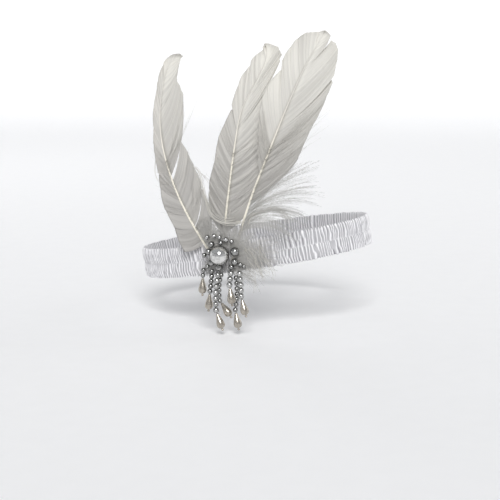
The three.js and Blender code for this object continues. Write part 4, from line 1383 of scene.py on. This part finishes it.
DROP_PROFILE = [(0, 0.16), (0.01, 0.26), (0.06, 0.33), (0.2, 0.47), (0.35, 0.66), (0.5, 0.84), (0.62, 0.95),
                (0.74, 1.0), (0.84, 0.95), (0.92, 0.76), (0.97, 0.5), (0.995, 0.2)]
SEED_PROFILE = [(0.02, 0.3), (0.15, 0.72), (0.4, 1.0), (0.65, 0.95), (0.88, 0.6), (1.0, 0.0)]
DROP_SIDES = 28


def drop_master():
    """A pear-shaped drop with a seed bead at its foot, spun from one profile, neck at the origin."""
    pear = [(girth * DROP_DIAMETER / 2, -along * DROP_LENGTH) for along, girth in DROP_PROFILE]
    seed = [
        (girth * SEED_DIAMETER / 2, -DROP_LENGTH - along * SEED_DIAMETER) for along, girth in SEED_PROFILE
    ]
    outline = [(0.0, 0.0), *pear, *seed]
    mesh = bpy.data.meshes.new("drop_master")
    mesh.from_pydata([(r, 0, z) for r, z in outline], [(i, i + 1) for i in range(len(outline) - 1)], [])
    drop = linked("drop_master", mesh)
    select_only(drop)
    bpy.ops.object.mode_set(mode="EDIT")
    bpy.ops.mesh.select_all(action="SELECT")
    bpy.ops.mesh.spin(steps=DROP_SIDES, angle=FULL_TURN, center=(0, 0, 0), axis=(0, 0, 1))
    bpy.ops.mesh.select_all(action="SELECT")
    bpy.ops.mesh.remove_doubles(threshold=0.001)
    bpy.ops.mesh.normals_make_consistent(inside=False)
    bpy.ops.object.mode_set(mode="OBJECT")
    drop.data.shade_smooth()
    return drop


class HEADBAND_OT_drops(bpy.types.Operator):
    """Build the pear-shaped drops at the strings' feet"""

    bl_idname = "headband.drops"
    bl_label = "Pearl drops"

    def execute(self, context):
        pearl = pearl_material(context.scene.brooch_beads)
        master = drop_master()
        ring = [brooch_bead(row, RING_BEAD_DIAMETER) for row in RING_BEADS]
        for number, row in enumerate(STRINGS, 1):
            _, middles, radius = string_beads(row, ring)
            angle = math.radians(row[4])
            hang = Vector((math.sin(angle), -math.cos(angle), 0))
            neck = Vector(in_frame(middles[-1] + hang * (radius + CLEARANCE)))
            drop = linked(f"pearl_drop_{number}", master.data.copy())
            drop.data.name = drop.name
            turn = Matrix.Rotation(-angle, 4, "X")
            drop.data.transform(Matrix.Translation(neck) @ turn @ Matrix.Scale(MM, 4))
            settled(drop, [f"drop_{number}"], "champagne_pearl", pearl)
        bpy.data.objects.remove(master)
        return {"FINISHED"}


# The stage

CAMERA_AZIMUTH = math.radians(-68)
CAMERA_ELEVATION = math.radians(9)
CAMERA_DISTANCE = 1.0
CAMERA_LENS = 86.14
SENSOR_WIDTH = 36
ORIGIN_RIGHT_OF_MIDDLE = 0.00478
ORIGIN_ABOVE_MIDDLE = 0.00496

KEY_PLACE = (-0.82, -0.36, 0.75)
KEY_SPREAD = math.radians(24)
SOFT_LIGHTS = [("front_light", (0.9, -1.5, 0.9)), ("rim_light", (0.9, 1.2, 1.2))]
SOFT_LIGHT_SIZE = 1.0
SOFT_LIGHT_POWER = 3.0
LIGHT_AIM = (0, 0, 0.03)
SURROUND_COLOUR = (0.93, 0.945, 0.97, 1)

# The floor, and how wide and how high each ring of its rising edge is
FLOOR_RADIUS = 2.6
FLOOR_SIDES = 96
BACKDROP_RISE = [(3.0, 0.04), (3.3, 0.16), (3.5, 0.4), (3.6, 0.8), (3.62, 1.3)]


def aimed(name, data, place, aim):
    """A light or a camera in the scene, looking from one place at another."""
    holder = linked(name, data)
    holder.location = place
    holder.rotation_mode = "QUATERNION"
    holder.rotation_quaternion = (Vector(aim) - Vector(place)).to_track_quat("-Z", "Y")
    return holder


def backdrop(height):
    """A round pale floor whose edge curves up all round."""
    deselect_all()
    bpy.ops.mesh.primitive_circle_add(
        vertices=FLOOR_SIDES, radius=FLOOR_RADIUS, fill_type="NGON", location=(0, 0, height)
    )
    floor = bpy.context.object
    floor.name = "pale_floor"
    bpy.ops.object.mode_set(mode="EDIT")
    bpy.ops.mesh.select_all(action="DESELECT")
    bpy.ops.mesh.select_mode(type="EDGE")
    bpy.ops.mesh.select_non_manifold()
    radius, rise = FLOOR_RADIUS, 0
    for wider, higher in BACKDROP_RISE:
        bpy.ops.mesh.extrude_edges_move(TRANSFORM_OT_translate={"value": (0, 0, higher - rise)})
        bpy.ops.transform.resize(value=(wider / radius, wider / radius, 1))
        radius, rise = wider, higher
    bpy.ops.object.mode_set(mode="OBJECT")
    floor.data.shade_smooth()
    return floor


def floor_material(tint):
    """Pale studio paper."""
    material, nodes, links, shader = shade("pale_floor")
    mask, height = grain(nodes, 60)
    paper = ramp(nodes, links, mask, [(0.3, scaled(tint, 0.985)), (0.7, tuple(tint))])
    links.new(paper, shader.inputs["Base Color"])
    links.new(bump(nodes, links, height, 0.0001, 0.1), shader.inputs["Normal"])
    shader.inputs["Roughness"].default_value = 0.8
    return material


def studio_lights(settings):
    """A soft key light, two weak lights as large as windows, and a pale surround."""
    sun = bpy.data.lights.new("key_light", "SUN")
    sun.energy = settings.key_power
    sun.angle = KEY_SPREAD
    aimed("key_light", sun, KEY_PLACE, LIGHT_AIM)
    for name, place in SOFT_LIGHTS:
        light = bpy.data.lights.new(name, "AREA")
        light.shape = "SQUARE"
        light.size = SOFT_LIGHT_SIZE
        light.energy = SOFT_LIGHT_POWER
        aimed(name, light, place, LIGHT_AIM)
    world = bpy.data.worlds.new("pale_studio")
    world.use_nodes = True
    world.node_tree.nodes["Background"].inputs["Color"].default_value = SURROUND_COLOUR
    world.node_tree.nodes["Background"].inputs["Strength"].default_value = settings.world_strength
    bpy.context.scene.world = world


def studio_camera():
    """The camera at the photograph's viewing angle, aimed so that the origin lies where it was measured."""
    level = Vector((math.sin(CAMERA_AZIMUTH), -math.cos(CAMERA_AZIMUTH), 0))
    back = level * math.cos(CAMERA_ELEVATION) + Vector((0, 0, math.sin(CAMERA_ELEVATION)))
    right = Vector((math.cos(CAMERA_AZIMUTH), math.sin(CAMERA_AZIMUTH), 0))
    aim = -right * ORIGIN_RIGHT_OF_MIDDLE - back.cross(right) * ORIGIN_ABOVE_MIDDLE
    camera = bpy.data.cameras.new("camera")
    camera.lens = CAMERA_LENS
    camera.sensor_width = SENSOR_WIDTH
    camera.clip_start = 0.01
    bpy.context.scene.camera = aimed("camera", camera, back * CAMERA_DISTANCE, aim)


class HEADBAND_OT_stage(bpy.types.Operator):
    """Set up the floor, the soft lights and the camera"""

    bl_idname = "headband.stage"
    bl_label = "Stage"

    def execute(self, context):
        settings = context.scene.studio
        floor = backdrop(CAD_BOX[0].z - settings.floor_gap)
        floor.data.materials.append(floor_material(settings.floor_colour))
        studio_lights(settings)
        studio_camera()
        context.scene.view_settings.view_transform = "Standard"
        return {"FINISHED"}


OPERATORS = (
    HEADBAND_OT_satin_band,
    HEADBAND_OT_feathers,
    HEADBAND_OT_down,
    HEADBAND_OT_brooch,
    HEADBAND_OT_strings,
    HEADBAND_OT_drops,
    HEADBAND_OT_stage,
)


class HEADBAND_PT_pieces(bpy.types.Panel):
    """The headband's pieces in the sidebar"""

    bl_idname = "HEADBAND_PT_pieces"
    bl_label = "Headband"
    bl_space_type = "VIEW_3D"
    bl_region_type = "UI"
    bl_category = "Headband"

    def draw(self, context):
        for operator in OPERATORS:
            self.layout.operator(operator.bl_idname)
        for name, group in SETTINGS.items():
            box = self.layout.box()
            for key in group.__annotations__:
                box.prop(getattr(context.scene, name), key)


def register():
    for group in SETTINGS.values():
        bpy.utils.register_class(group)
    for name, group in SETTINGS.items():
        setattr(bpy.types.Scene, name, bpy.props.PointerProperty(type=group))
    for operator in OPERATORS:
        bpy.utils.register_class(operator)
    bpy.utils.register_class(HEADBAND_PT_pieces)


def unregister():
    bpy.utils.unregister_class(HEADBAND_PT_pieces)
    for operator in reversed(OPERATORS):
        bpy.utils.unregister_class(operator)
    for name, group in SETTINGS.items():
        delattr(bpy.types.Scene, name)
        bpy.utils.unregister_class(group)


def main():
    """Registers the headband's classes and builds every piece."""
    register()
    bpy.ops.headband.stage()
    bpy.ops.headband.satin_band()
    bpy.ops.headband.feathers()
    bpy.ops.headband.down()
    bpy.ops.headband.brooch()
    bpy.ops.headband.strings()
    bpy.ops.headband.drops()


if __name__ == "__main__":
    main()
